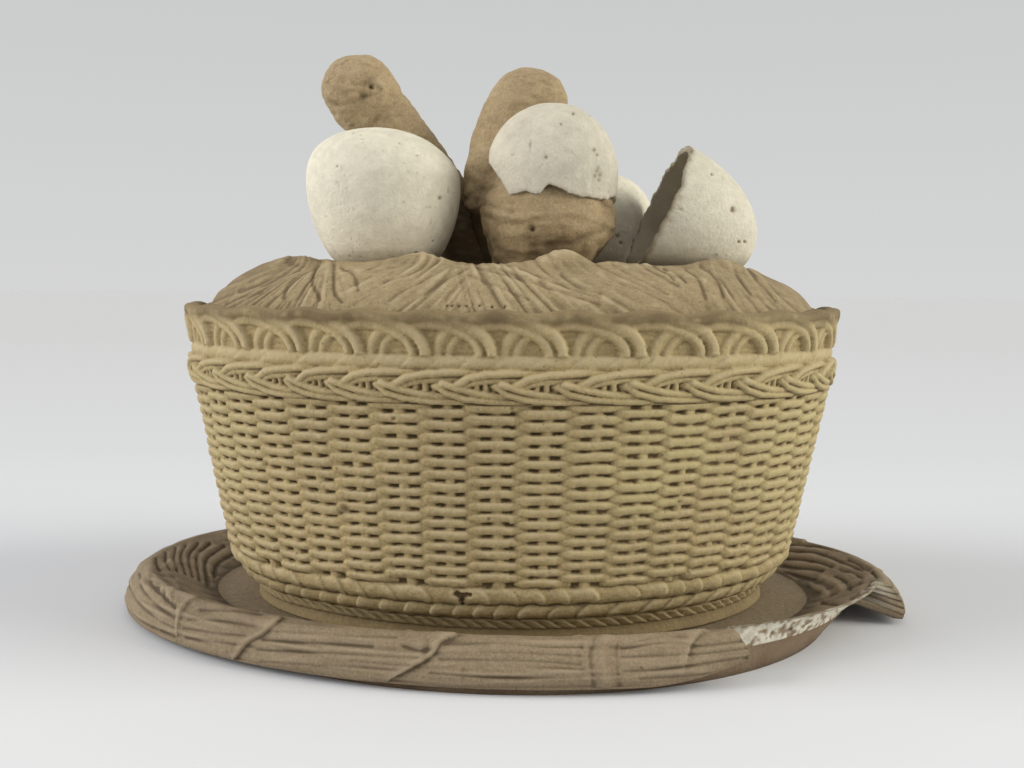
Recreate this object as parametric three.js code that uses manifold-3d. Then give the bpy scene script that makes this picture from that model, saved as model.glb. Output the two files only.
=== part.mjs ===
// Oval caneware game dish: a straw-edged stand, a basket-shaped dish, its loose liner,
// and a cover of straw that carries eggs, shells and two hatchlings.
// Millimetres, +Z up, +X along the oval, the front towards -Y, the table at z = 0.
import * as THREE from 'three';
import { mergeVertices } from 'three/addons/utils/BufferGeometryUtils.js';
import Module from 'manifold-3d';

const wasm = await Module();
wasm.setup();

// Clearances that all pieces share
const seatGap = 0.3; // under a piece that rests on another
const luteGap = 0.3; // round an ornament in its bed of straw
const slipGap = 1.2; // round a piece that lifts out
const cutOverrun = 6; // how far a cutting shape runs past what it cuts

// Stand
const standCrestHalfLength = 152.7;
const standCrestHalfWidth = 102;
const standCrestHeight = 17.6;
const skirtSpread = 9.8; // how far the rolled skirt stands out from the crest
const skirtBulge = 1; // how much further its fullest line reaches
const skirtLift = 2.5; // from the table to the skirt's lower edge
const skirtThickness = 5;
const skirtLap = 2; // how far the skirt's root reaches into the crest
const skirtRootShares = [0.66, 0.28]; // heights in the crest's edge between which the root lies
const strawRidge = 0.7; // height of the straws that run along the skirt
const strawRidgeCount = 2;
const tieCount = 4; // bands tied across the skirt
const tieHeight = 0.9;
const wellHalfLength = 124; // flat floor inside the slope
const wellHalfWidth = 87;
const wellHeight = 7.4; // from the table to the floor's upper face
const standThickness = 4.4; // of the floor, the slope and the crest
const standFootHalfLength = 131; // ring that the stand rests on: its ends lie well inside the
const standFootHalfWidth = 110; // skirt, its long sides meet it
const standFootWidth = 5;
const wallTopHalfLength = 139; // where the foot's wall meets the overhanging rim
const wallTopHalfWidth = 105.5;
const wallTopHeight = 8.7;
const slopeFlute = 0.8; // depth of the radial flutes on the slope
const standColumns = 52;
const wellCurveShares = [0, 0.14, 0.42, 0.76]; // the slope's curve: how far out
const slopeRiseShares = [0, 0.12, 0.42, 0.82]; // and how high at each of these
const standTurn = -4.2; // the stand lies a little askew under the dish, in degrees

// Break in the stand's skirt at the front right, as angles round the oval from the front
const breakStartAngle = 33;
const breakEndAngle = 80;
const breakInset = 1.5; // how far inside the crest line the break runs
const breakRoughness = 1.1;
const breakLayer = 0.2; // left on the wall that the break lays bare
const breakSteps = 12;

// Basket wall, by heights above its foot's lower edge
const footHalfLength = 105.7;
const footHalfWidth = 79.8;
const footWaist = 1; // how far the foot draws in above its lower edge
const footHeight = 6.8;
const ropeHeight = 4.5;
const lowerWaleHeight = 6.4;
const upperWaleHeight = 6.5;
const weaveHeight = 63.1;
const plaitHeight = 11.9;
const stripHeight = 4.7;
const arcadeHeight = 12;
const lipHeight = 3.5;
const ropeHalfLength = 106.5;
const ropeHalfWidth = 80.4;
const weaveBaseHalfLength = 116.3;
const weaveBaseHalfWidth = 87.8;
const weaveTopHalfLength = 129.5;
const weaveTopHalfWidth = 97.8;
const neckHalfLength = 130.5;
const neckHalfWidth = 98.5;
const rimHalfLength = 135;
const rimHalfWidth = 102;
const stakeCount = 42;
const strandRows = 29;
const weaveRelief = 1; // how far a strand swings either side of the wall's middle
const waleSegments = 42;
const waleRelief = 1.5;
const segmentRelief = 0.5;
const ropeRelief = 1;
const plaitCount = 34;
const plaitColumnsEach = 3;
const plaitRelief = 2.6;
const plaitLobe = 0.8;
const lobeShares = [0.28, 0.72]; // heights in the band of its two rows of lobes
const archCount = 28;
const archColumnsEach = 4;
const archRows = 2;
const archRelief = 1.8;
const archLean = 20; // how far an arch sweeps along the wall from its crown to its foot
const lipRoll = 2.2; // how far the lip stands out from the arcade's top
const scallopDepth = 1.2;

// Basket inside
const rimThickness = 6.5;
const wallThickness = 7;
const floorThickness = 6;
const underRecess = 2.5;
const footRingWidth = 7;
const ledgeDepth = 10.4; // from the rim down to the ledge that carries the liner
const ledgeWidth = 4.5;

// Liner
const linerFlangeThickness = 4;
const linerFlangeWidth = 7;
const linerThickness = 4;
const linerFloorGap = 3; // clear space under the liner
const linerFootHalfLength = 96;
const linerFootHalfWidth = 68;

// Cover
const coverEdgeHeight = 3; // upright edge that stands within the rim
const coverEdgeGap = 3.6; // between the cover's edge and the rim
const coverCrownHeight = 24.5; // from the cover's seat to its flat crown
const coverShoulder = 42; // how far the crown lies inside the edge
const shoulderPowerShare = 1.4; // 1 is a quarter round, more is a flatter slope
const coverThickness = 8;
const coverFlangeDepth = 6; // ring that reaches down into the liner
const coverFlangeThickness = 4.5;
const tuftHeight = 1.6;
const tuftCount = 9;
const socketDepth = 3; // how deep the ornaments are bedded in the straw

// Whole egg at the left: a blunt end up, its point bedded in the straw
const leftEgg = { x: -52.5, y: -10, rise: 34.5, radius: 31.2, above: 22, below: 46, lean: -10 };
// Whole egg behind, at the right
const backEgg = { x: 38, y: 46, rise: 22, radius: 26, above: 21.5, below: 36, lean: 4 };
// The egg that the middle hatchling leaves: its cap stands on the hatchling's back
const capEgg = { x: 15.2, y: -14, rise: 34, radius: 26.8, above: 31.5, below: 44, lean: 3 };
const capShell = 2.6;
const capEdgeRise = 27; // from the bedded base to the cap's broken edge
const capEdgeJag = 2.6;
const capEdgeTeeth = 7;
const capEdgeTurn = 0.1; // share of a turn by which the teeth are set round
// Broken half egg at the right, its mouth to the left
const openShell = { x: 59, y: 0, rise: 24, radius: 29, depth: 45, wall: 2.6, turn: 24, swing: 10 };

// Left hatchling: neck from its foot behind the eggs up to the head
const leftNeck = { x: -12, y: 22, rise: -1, radius: 15 };
const leftBend = { x: -36, y: 22, rise: 38, radius: 12 };
const leftHead = { x: -65, y: 20, rise: 75.5, radius: 14.6 };
const leftBill = { x: -73, y: 18, rise: 69.5, radius: 8.5 };
// Middle hatchling: breast in the egg's lower half, neck and head behind the cap
const breast = { x: 11.5, rise: 24, radius: 28, above: 12, below: 32 };
const neckBack = { x: -2, y: 12, rise: -1, radius: 21 };
const neckBend = { x: -3, y: 12, rise: 40, radius: 20.5 };
const neckHead = { x: 8, y: 12, rise: 68, radius: 15 };
const neckLump = { x: -15, y: 0, rise: 27, radius: 9 };

// Facets round each kind of form
const eggFacets = 16;
const eggSteps = 8;
const limbFacets = 12;
const limbSteps = 5;
const limbCapAngles = [35, 68]; // sections of a limb's domed end
const coverRows = 4;
const ovalSteps = 720; // steps in which the way round an oval is measured
const innerColumns = 32;

// Colours of the dry stoneware bodies and the glazed liner
const caneColour = 0xbeaf84;
const coverColour = 0xb3a27a;
const standColour = 0x94836a;
const birdColour = 0xa08a66;
const shellColour = 0xe2dece;
const linerColour = 0xd9cfae;
const dryRoughness = 0.88;
const glazeRoughness = 0.35;

// Levels worked out from the heights above
const basketBase = wellHeight + seatGap;
const footTop = basketBase + footHeight;
const ropeTop = footTop + ropeHeight;
const lowerWaleTop = ropeTop + lowerWaleHeight;
const weaveBase = lowerWaleTop + upperWaleHeight;
const weaveTop = weaveBase + weaveHeight;
const plaitTop = weaveTop + plaitHeight;
const arcadeBase = plaitTop + stripHeight;
const arcadeTop = arcadeBase + arcadeHeight;
const rimTop = arcadeTop + lipHeight;
const basketFloor = basketBase + underRecess + floorThickness;
const ledgeTop = rimTop - ledgeDepth;
const flangeBase = ledgeTop + seatGap;
const flangeTop = flangeBase + linerFlangeThickness;
const linerBase = basketFloor + linerFloorGap;
const coverSeat = flangeTop + seatGap;
const crownTop = coverSeat + coverCrownHeight;
const socketFloor = crownTop - socketDepth;
const ornamentBase = socketFloor + luteGap;

const degrees = (angle) => THREE.MathUtils.degToRad(angle);
const wave = (turns) => Math.cos(2 * Math.PI * turns);

// Angle round an oval at a given share of its way round, so that columns lie evenly spaced
const basketAspect = rimHalfWidth / rimHalfLength;
const standAspect = standCrestHalfWidth / standCrestHalfLength;
function evenAngles(aspect) {
  const steps = ovalSteps;
  const way = [0];
  for (let i = 0; i < steps; i += 1) {
    const middle = (2 * Math.PI * (i + 0.5)) / steps;
    way.push(way[i] + Math.hypot(Math.cos(middle), aspect * Math.sin(middle)));
  }
  return (share) => {
    const whole = Math.floor(share);
    const target = (share - whole) * way[steps];
    let low = 0;
    while (low < steps - 1 && way[low + 1] <= target) low += 1;
    const part = (target - way[low]) / (way[low + 1] - way[low]);
    return 2 * Math.PI * (whole + (low + part) / steps);
  };
}
const basketAngle = evenAngles(basketAspect);
const standAngle = evenAngles(standAspect);

// A point on an oval of half-sizes a and b, moved outwards by the relief
function ovalPoint(angle, a, b, z, out = 0) {
  const normal = new THREE.Vector2(Math.sin(angle) / a, -Math.cos(angle) / b).normalize();
  return new THREE.Vector3(a * Math.sin(angle) + out * normal.x, -b * Math.cos(angle) + out * normal.y, z);
}

// A ring of columns: relief and height may change from column to column
function ovalRing(angleAt, columns, a, b, z, relief = () => 0, lift = () => 0, shift = 0) {
  const ring = { shares: [], points: [] };
  for (let i = 0; i < columns; i += 1) {
    const share = i / columns + shift;
    ring.shares.push(share);
    ring.points.push(ovalPoint(angleAt(share), a, b, z + lift(i, share), relief(i, share)));
  }
  return ring;
}

const basketRing = (...sizes) => ovalRing(basketAngle, ...sizes);
const standRing = (...sizes) => ovalRing(standAngle, ...sizes);

// Faces between two rings: column to column where they match, else merged by their shares
function zipRings(faces, lower, upper) {
  const m = lower.points.length;
  const n = upper.points.length;
  const nearest = (share, ring) => {
    const size = ring.points.length;
    return (Math.round((share - ring.shares[0]) * size) % size + size) % size;
  };
  const start = m === n ? 0 : nearest(lower.shares[0], upper);
  const offset = m === n ? 0 : Math.round(upper.shares[start] - lower.shares[0]);
  const upperShare = (j) => upper.shares[(start + j) % n] + Math.floor((start + j) / n) - offset;
  const lowerShare = (i) => lower.shares[i % m] + Math.floor(i / m);
  let i = 0;
  let j = 0;
  while (i < m || j < n) {
    const low = lower.points[i % m];
    const high = upper.points[(start + j) % n];
    const matched = m === n ? i <= j : lowerShare(i + 1) <= upperShare(j + 1);
    if (j >= n || (i < m && matched)) {
      faces.push(low, lower.points[(i + 1) % m], high);
      i += 1;
    } else {
      faces.push(low, upper.points[(start + j + 1) % n], high);
      j += 1;
    }
  }
}

function closeRing(faces, ring, upwards) {
  const centre = ring.points.reduce((sum, p) => sum.add(p), new THREE.Vector3());
  centre.divideScalar(ring.points.length);
  ring.points.forEach((point, i) => {
    const next = ring.points[(i + 1) % ring.points.length];
    if (upwards) faces.push(centre, point, next);
    else faces.push(centre, next, point);
  });
}

function geometryOfFaces(faces) {
  const geometry = new THREE.BufferGeometry();
  geometry.setFromPoints(faces);
  return geometry;
}

// A closed solid through rings, from the middle of its underside out, up and in again
function loft(rings) {
  const faces = [];
  closeRing(faces, rings[0], false);
  for (let i = 1; i < rings.length; i += 1) zipRings(faces, rings[i - 1], rings[i]);
  closeRing(faces, rings[rings.length - 1], true);
  return geometryOfFaces(faces);
}

// A closed band through rings, from its inner lower edge out, up, in and back down
function band(rings) {
  const faces = [];
  rings.forEach((ring, i) => zipRings(faces, ring, rings[(i + 1) % rings.length]));
  return geometryOfFaces(faces);
}

// Solids for cutting and joining
function solidOf(geometry) {
  const bare = geometry.index ? geometry.toNonIndexed() : geometry.clone();
  bare.deleteAttribute('normal');
  bare.deleteAttribute('uv');
  const merged = mergeVertices(bare, 1e-4);
  const vertProperties = new Float32Array(merged.attributes.position.array);
  const triVerts = new Uint32Array(merged.index.array);
  return new wasm.Manifold(new wasm.Mesh({ numProp: 3, vertProperties, triVerts }));
}

function geometryOf(solid) {
  const mesh = solid.getMesh();
  const geometry = new THREE.BufferGeometry();
  geometry.setAttribute('position', new THREE.BufferAttribute(mesh.vertProperties, 3));
  geometry.setIndex(new THREE.BufferAttribute(mesh.triVerts, 1));
  return geometry;
}

function joined(solids) {
  return solids.reduce((whole, solid) => whole.add(solid));
}

// Everything below a level, wide enough for any ornament
function slabBelow(level) {
  const depth = crownTop + cutOverrun;
  const slab = new THREE.BoxGeometry(2 * rimHalfLength, 2 * rimHalfWidth, depth);
  slab.translate(0, 0, level - depth / 2);
  return solidOf(slab);
}

// Stand
const blend = THREE.MathUtils.lerp;

function tieRelief(i) {
  const spacing = standColumns / tieCount;
  return Math.abs((i % spacing) - spacing / 2) < 1 ? tieHeight : 0;
}

// A ring on the stand's slope: how far out, how high, how far below the upper face
function slopeRing(share, rise, drop, relief) {
  return standRing(
    standColumns,
    blend(wellHalfLength, standCrestHalfLength, share),
    blend(wellHalfWidth, standCrestHalfWidth, share),
    blend(wellHeight, standCrestHeight, rise) - drop,
    undefined,
    relief,
  );
}

function footWallRing(out, z) {
  return standRing(standColumns, standFootHalfLength + out, standFootHalfWidth + out, z);
}

function wallTopRing(out) {
  const halfLength = wallTopHalfLength + out;
  return standRing(standColumns, halfLength, wallTopHalfWidth + out, wallTopHeight - out);
}

// Floor, slope and crest, on the wall that spreads from the foot ring
function standCoreRings() {
  const flute = (i) => (i % 2 ? -slopeFlute : 0);
  return [
    slopeRing(wellCurveShares[0], slopeRiseShares[0], standThickness),
    slopeRing(wellCurveShares[2], slopeRiseShares[2], standThickness),
    footWallRing(-standFootWidth, 0),
    footWallRing(0, 0),
    wallTopRing(0),
    slopeRing(1, 1, standThickness),
    slopeRing(1, 1, 0),
    slopeRing(wellCurveShares[3], slopeRiseShares[3], 0, flute),
    slopeRing(wellCurveShares[2], slopeRiseShares[2], 0, flute),
    slopeRing(wellCurveShares[1], slopeRiseShares[1], 0),
    slopeRing(wellCurveShares[0], slopeRiseShares[0], 0),
  ];
}

// Rolled skirt of straw that hangs from the crest
function skirtRings() {
  const skirt = (out, z, relief) => standRing(
    standColumns,
    standCrestHalfLength + out,
    standCrestHalfWidth + out,
    z,
    relief,
  );
  const rings = [
    skirt(skirtSpread - skirtThickness, skirtLift),
    skirt(skirtSpread, skirtLift, tieRelief),
  ];
  const fall = standCrestHeight - skirtLift;
  for (let k = 1; k <= 2 * strawRidgeCount; k += 1) {
    const share = k / (2 * strawRidgeCount + 1);
    const round = Math.sqrt(1 - share * share);
    const out = skirtSpread * round + skirtBulge * Math.sin(Math.PI * (1 - share) ** 2);
    const ridge = k % 2 ? strawRidge : -strawRidge;
    rings.push(skirt(out, skirtLift + fall * share, (i) => Math.max(ridge, tieRelief(i))));
  }
  rings.push(skirt(0, standCrestHeight));
  const edgeFoot = standCrestHeight - standThickness;
  skirtRootShares.forEach((share) => {
    rings.push(skirt(-skirtLap, blend(edgeFoot, standCrestHeight, share)));
  });
  rings.push(skirt(0, edgeFoot));
  return rings;
}

// The piece broken from the skirt: a ragged line inside the crest, and everything outside it
// down to the foot's wall
function breakCutter() {
  const outline = new THREE.Shape();
  const ragged = (k) => breakRoughness * (k % 2 ? 1 : -1) * (k % 3 ? 0.5 : 1);
  const at = (k, out) => {
    const angle = degrees(blend(breakStartAngle, breakEndAngle, k / breakSteps));
    return ovalPoint(angle, standCrestHalfLength, standCrestHalfWidth, 0, out);
  };
  for (let k = 0; k <= breakSteps; k += 1) {
    const p = at(k, ragged(k) - breakInset);
    if (k === 0) outline.moveTo(p.x, p.y);
    else outline.lineTo(p.x, p.y);
  }
  for (let k = breakSteps; k >= 0; k -= 1) {
    const p = at(k, skirtSpread + skirtBulge + cutOverrun);
    outline.lineTo(p.x, p.y);
  }
  const depth = standCrestHeight + 2 * cutOverrun;
  const cutter = new THREE.ExtrudeGeometry(outline, { depth, bevelEnabled: false });
  cutter.translate(0, 0, -cutOverrun);
  const wall = loft([
    footWallRing(breakLayer, -2 * cutOverrun),
    footWallRing(breakLayer, 0),
    wallTopRing(breakLayer),
    slopeRing(1, 1, standThickness + breakLayer),
  ]);
  return solidOf(cutter).subtract(solidOf(wall));
}

function standGeometry() {
  const whole = solidOf(loft(standCoreRings())).add(solidOf(band(skirtRings())));
  return geometryOf(whole.subtract(breakCutter())).rotateZ(degrees(standTurn));
}

// Basket wall
function footRings() {
  const inner = (z) => basketRing(
    innerColumns,
    footHalfLength - footRingWidth,
    footHalfWidth - footRingWidth,
    z,
  );
  const waistLength = footHalfLength - footWaist;
  const waistWidth = footHalfWidth - footWaist;
  return [
    inner(basketBase + underRecess),
    inner(basketBase),
    basketRing(innerColumns, footHalfLength, footHalfWidth, basketBase),
    basketRing(stakeCount, waistLength, waistWidth, footTop),
  ];
}

// Rope edging and the two rows of waling that close the weave at its foot
function waleRings() {
  const columns = 2 * waleSegments;
  const middle = (low, high) => (low + high) / 2;
  const ropeLength = ropeHalfLength;
  const ropeWidth = ropeHalfWidth;
  const twist = (turn) => (i) => segmentRelief * ((i + turn) % 2 ? 1 : -1);
  const wale = (a, b, z, relief) => basketRing(columns, a, b, z, relief);
  const bulge = (turn) => (i) => waleRelief + twist(turn)(i);
  const lowLength = middle(ropeLength, weaveBaseHalfLength);
  const lowWidth = middle(ropeWidth, weaveBaseHalfWidth);
  return [
    wale(ropeLength, ropeWidth, middle(footTop, ropeTop), (i) => ropeRelief + twist(0)(i)),
    wale(lowLength, lowWidth, ropeTop, undefined),
    wale(lowLength, lowWidth, middle(ropeTop, lowerWaleTop), bulge(0)),
    wale(weaveBaseHalfLength, weaveBaseHalfWidth, lowerWaleTop, undefined),
    wale(weaveBaseHalfLength, weaveBaseHalfWidth, middle(lowerWaleTop, weaveBase), bulge(1)),
  ];
}

// Plain weave: each strand passes before one stake and behind the next, row against row
function weaveRings() {
  const rings = [];
  for (let row = 0; row < strandRows; row += 1) {
    const share = (row + 0.5) / strandRows;
    const swing = (i) => {
      if (i % 2) return 0;
      return (i / 2 + row) % 2 ? weaveRelief : -weaveRelief;
    };
    rings.push(basketRing(
      2 * stakeCount,
      blend(weaveBaseHalfLength, weaveTopHalfLength, share),
      blend(weaveBaseHalfWidth, weaveTopHalfWidth, share),
      weaveBase + weaveHeight * share,
      swing,
    ));
  }
  return rings;
}

// Plaited band: upper and lower lobes by turns
function plaitRings() {
  const columns = plaitColumnsEach * plaitCount;
  const lobe = (turn) => (i, share) => plaitRelief + plaitLobe * wave(plaitCount * share + turn);
  const ring = (part, relief) => basketRing(
    columns,
    blend(weaveTopHalfLength, neckHalfLength, part),
    blend(weaveTopHalfWidth, neckHalfWidth, part),
    blend(weaveTop, plaitTop, part),
    relief,
  );
  return [
    ring(lobeShares[0], lobe(0)),
    ring((lobeShares[0] + lobeShares[1]) / 2, () => plaitRelief - plaitLobe),
    ring(lobeShares[1], lobe(0.5)),
    ring(1),
    basketRing(columns, neckHalfLength, neckHalfWidth, arcadeBase),
  ];
}

// Arcade: columns follow each arch from its foot, along its sweep, to its crown
function arcadeRings() {
  const columns = archColumnsEach * archCount;
  const around = 2 * Math.PI * Math.sqrt((neckHalfLength ** 2 + neckHalfWidth ** 2) / 2);
  const rings = [];
  for (let row = 0; row <= archRows; row += 1) {
    const rise = row / archRows;
    const lean = (archLean * Math.sqrt(1 - rise * rise)) / around;
    const relief = (i) => [archRelief, archRelief / 2][i % archColumnsEach] || 0;
    rings.push(basketRing(
      columns,
      blend(neckHalfLength, rimHalfLength - lipRoll, rise),
      blend(neckHalfWidth, rimHalfWidth - lipRoll, rise),
      blend(arcadeBase, arcadeTop, rise),
      relief,
      undefined,
      lean,
    ));
  }
  return rings;
}

// Rolled lip with a scallop over each arch
function lipRings() {
  const columns = archColumnsEach * archCount;
  const scallop = (i, share) => (scallopDepth * (wave(archCount * share) - 1)) / 2;
  const lip = (a, b, z) => basketRing(columns, a, b, z, undefined, scallop);
  const side = rimThickness - lipRoll;
  return [
    lip(rimHalfLength, rimHalfWidth, rimTop - lipHeight / 2),
    lip(rimHalfLength - lipRoll / 2, rimHalfWidth - lipRoll / 2, rimTop),
    lip(rimHalfLength - side, rimHalfWidth - side, rimTop),
  ];
}

const mouthHalfLength = rimHalfLength - rimThickness;
const mouthHalfWidth = rimHalfWidth - rimThickness;
const throatHalfLength = mouthHalfLength - ledgeWidth;
const throatHalfWidth = mouthHalfWidth - ledgeWidth;
const cavityHalfLength = footHalfLength - footWaist - wallThickness / 2;
const cavityHalfWidth = footHalfWidth - footWaist - wallThickness / 2;

function basketInsideRings() {
  return [
    basketRing(innerColumns, mouthHalfLength, mouthHalfWidth, rimTop - lipHeight),
    basketRing(innerColumns, mouthHalfLength, mouthHalfWidth, ledgeTop),
    basketRing(innerColumns, throatHalfLength, throatHalfWidth, ledgeTop),
    basketRing(innerColumns, cavityHalfLength, cavityHalfWidth, basketFloor),
  ];
}

function basketGeometry() {
  return loft([
    ...footRings(),
    ...waleRings(),
    ...weaveRings(),
    ...plaitRings(),
    ...arcadeRings(),
    ...lipRings(),
    ...basketInsideRings(),
  ]);
}

// Liner: hangs by its flange on the basket's ledge
const flangeHalfLength = mouthHalfLength - slipGap;
const flangeHalfWidth = mouthHalfWidth - slipGap;
const linerMouthHalfLength = flangeHalfLength - linerFlangeWidth;
const linerMouthHalfWidth = flangeHalfWidth - linerFlangeWidth;

function linerGeometry() {
  const ring = (a, b, z) => basketRing(innerColumns, a, b, z);
  const outer = linerThickness;
  const bodyLength = Math.min(linerMouthHalfLength + outer, throatHalfLength - slipGap);
  const bodyWidth = Math.min(linerMouthHalfWidth + outer, throatHalfWidth - slipGap);
  return loft([
    ring(linerFootHalfLength, linerFootHalfWidth, linerBase),
    ring(bodyLength, bodyWidth, flangeBase),
    ring(flangeHalfLength, flangeHalfWidth, flangeBase),
    ring(flangeHalfLength, flangeHalfWidth, flangeTop),
    ring(bodyLength - outer, bodyWidth - outer, flangeTop),
    ring(linerFootHalfLength - outer, linerFootHalfWidth - outer, linerBase + outer),
  ]);
}

// Cover of straw, hollow beneath, with a ring that reaches down into the liner
const edgeHalfLength = mouthHalfLength - coverEdgeGap;
const edgeHalfWidth = mouthHalfWidth - coverEdgeGap;
const flangeInset = linerThickness + slipGap;
const ringHalfLength = linerMouthHalfLength - flangeInset;
const ringHalfWidth = linerMouthHalfWidth - flangeInset;

function coverRings() {
  const ring = (a, b, z, lift) => basketRing(innerColumns, a, b, z, undefined, lift);
  const tuft = (i, share) => (tuftHeight * wave(tuftCount * share)) / 2;
  const insideLength = ringHalfLength - coverFlangeThickness;
  const insideWidth = ringHalfWidth - coverFlangeThickness;
  const domeTop = crownTop - coverThickness;
  const rings = [
    ring(insideLength - coverShoulder, insideWidth - coverShoulder, domeTop),
    ring(insideLength, insideWidth, (domeTop + coverSeat) / 2),
    ring(insideLength, insideWidth, coverSeat - coverFlangeDepth),
    ring(ringHalfLength, ringHalfWidth, coverSeat - coverFlangeDepth),
    ring(ringHalfLength, ringHalfWidth, coverSeat),
    ring(edgeHalfLength, edgeHalfWidth, coverSeat),
    ring(edgeHalfLength, edgeHalfWidth, coverSeat + coverEdgeHeight),
  ];
  const rise = coverCrownHeight - coverEdgeHeight;
  for (let row = 1; row <= coverRows; row += 1) {
    const turn = (Math.PI / 2) * (row / coverRows);
    const inset = coverShoulder * (1 - Math.cos(turn));
    rings.push(ring(
      edgeHalfLength - inset,
      edgeHalfWidth - inset,
      coverSeat + coverEdgeHeight + rise * Math.sin(turn) ** shoulderPowerShare,
      tuft,
    ));
  }
  return rings;
}

// Egg: blunt above its widest line, longer below it, leaning along the oval
function eggSolid(egg, grow = 0) {
  const profile = [];
  for (let k = 0; k <= eggSteps; k += 1) {
    const turn = Math.PI * (1 - k / eggSteps);
    const height = turn > Math.PI / 2 ? egg.below : egg.above;
    const radius = k % eggSteps ? (egg.radius + grow) * Math.sin(turn) : 0;
    profile.push(new THREE.Vector2(radius, (height + grow) * Math.cos(turn)));
  }
  const shape = new THREE.LatheGeometry(profile, eggFacets);
  shape.rotateX(Math.PI / 2);
  shape.rotateY(degrees(egg.lean));
  shape.translate(egg.x, egg.y, ornamentBase + egg.rise);
  return solidOf(shape);
}

// Limb: round sections along a curve through its foot, bend and head, with domed ends
function limbSolid(stations, grow = 0) {
  const centre = new THREE.QuadraticBezierCurve3(
    ...stations.map((s) => new THREE.Vector3(s.x, s.y, ornamentBase + s.rise)),
  );
  const radiusAt = (t) => {
    const [foot, bend, head] = stations.map((s) => s.radius + grow);
    return (1 - t) ** 2 * foot + 2 * t * (1 - t) * bend + t * t * head;
  };
  const section = (t, radius, along) => {
    const axis = centre.getTangent(t);
    const side = new THREE.Vector3(0, 1, 0);
    const up = new THREE.Vector3().crossVectors(axis, side).normalize();
    const middle = centre.getPoint(t).addScaledVector(axis, along);
    const points = [];
    for (let i = 0; i < limbFacets; i += 1) {
      const turn = (2 * Math.PI * i) / limbFacets;
      const point = middle.clone().addScaledVector(up, radius * Math.cos(turn));
      points.push(point.addScaledVector(side, -radius * Math.sin(turn)));
    }
    return { shares: points.map((p, i) => i / limbFacets), points };
  };
  const rings = [];
  for (let k = 0; k <= limbSteps; k += 1) rings.push(section(k / limbSteps, radiusAt(k / limbSteps), 0));
  const cap = radiusAt(1);
  limbCapAngles.map(degrees).forEach((turn) => {
    rings.push(section(1, cap * Math.cos(turn), cap * Math.sin(turn)));
  });
  return solidOf(loft(rings));
}

function ballSolid(ball, grow = 0) {
  const shape = new THREE.SphereGeometry(ball.radius + grow, limbFacets, limbFacets / 2);
  shape.translate(ball.x, ball.y, ornamentBase + ball.rise);
  return solidOf(shape);
}

// Everything below the cap's broken edge, with teeth round it
function belowCapEdge(drop) {
  const level = ornamentBase + capEdgeRise - drop;
  const reach = capEgg.radius + cutOverrun;
  const teeth = (i, share) => capEdgeJag * wave(capEdgeTeeth * share) * wave(share + capEdgeTurn);
  const ring = (z, lift) => {
    const round = ovalRing((share) => 2 * Math.PI * share, 2 * eggFacets, reach, reach, z, undefined, lift);
    round.points.forEach((p) => p.add(new THREE.Vector3(capEgg.x, capEgg.y, 0)));
    return round;
  };
  return solidOf(loft([ring(-cutOverrun), ring(level, teeth)]));
}

const breastEgg = { ...capEgg, ...breast };
const capInside = (grow) => eggSolid(capEgg, grow - capShell);

function capSolid(grow = 0) {
  return eggSolid(capEgg, grow).subtract(belowCapEdge(grow));
}

function capGeometry() {
  return geometryOf(capSolid().subtract(capInside(0)));
}

// Forms of the pieces that others are cut round, grown by the gap that is wanted
const leftEggForm = (grow) => eggSolid(leftEgg, grow);
const backEggForm = (grow) => eggSolid(backEgg, grow);

function openShellForm(grow) {
  return shellOfRadius(openShell.radius + grow, openShell.depth + grow, grow);
}

// Half egg with its mouth at the origin, open towards -X
function shellOfRadius(radius, depth, back) {
  const profile = [new THREE.Vector2(0, -back)];
  for (let k = 0; k <= eggSteps - 2; k += 1) {
    const turn = (Math.PI / 2) * (k / (eggSteps - 2));
    const r = k === eggSteps - 2 ? 0 : radius * Math.cos(turn);
    profile.push(new THREE.Vector2(r, k === 0 ? -back : depth * Math.sin(turn)));
  }
  const shape = new THREE.LatheGeometry(profile, eggFacets);
  shape.rotateZ(-Math.PI / 2);
  return placeShell(shape);
}

function placeShell(shape) {
  shape.rotateY(degrees(openShell.turn));
  shape.rotateZ(degrees(openShell.swing));
  shape.translate(openShell.x, openShell.y, ornamentBase + openShell.rise);
  return solidOf(shape);
}

function openShellGeometry() {
  const outside = openShellForm(0);
  const inside = shellOfRadius(
    openShell.radius - openShell.wall,
    openShell.depth - openShell.wall,
    cutOverrun,
  );
  return geometryOf(outside.subtract(inside).subtract(slabBelow(ornamentBase)));
}

function middleBirdForm(grow) {
  const limb = limbSolid([neckBack, neckBend, neckHead], grow);
  return joined([eggSolid(breastEgg, grow), limb, ballSolid(neckLump, grow)]);
}

function middleBirdGeometry() {
  const bare = middleBirdForm(0)
    .subtract(capSolid(luteGap))
    .add(capInside(-luteGap))
    .subtract(leftEggForm(luteGap))
    .subtract(slabBelow(ornamentBase));
  return geometryOf(bare);
}

function leftBirdForm(grow) {
  const limb = limbSolid([leftNeck, leftBend, leftHead], grow);
  return joined([limb, ballSolid(leftBill, grow)]);
}

function leftBirdGeometry() {
  const bare = leftBirdForm(0)
    .subtract(leftEggForm(luteGap))
    .subtract(middleBirdForm(luteGap))
    .subtract(slabBelow(ornamentBase));
  return geometryOf(bare);
}

function eggGeometry(form) {
  return geometryOf(form(0).subtract(slabBelow(ornamentBase)));
}

function backEggGeometry() {
  const bare = backEggForm(0)
    .subtract(middleBirdForm(luteGap))
    .subtract(openShellForm(luteGap))
    .subtract(slabBelow(ornamentBase));
  return geometryOf(bare);
}

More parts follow.
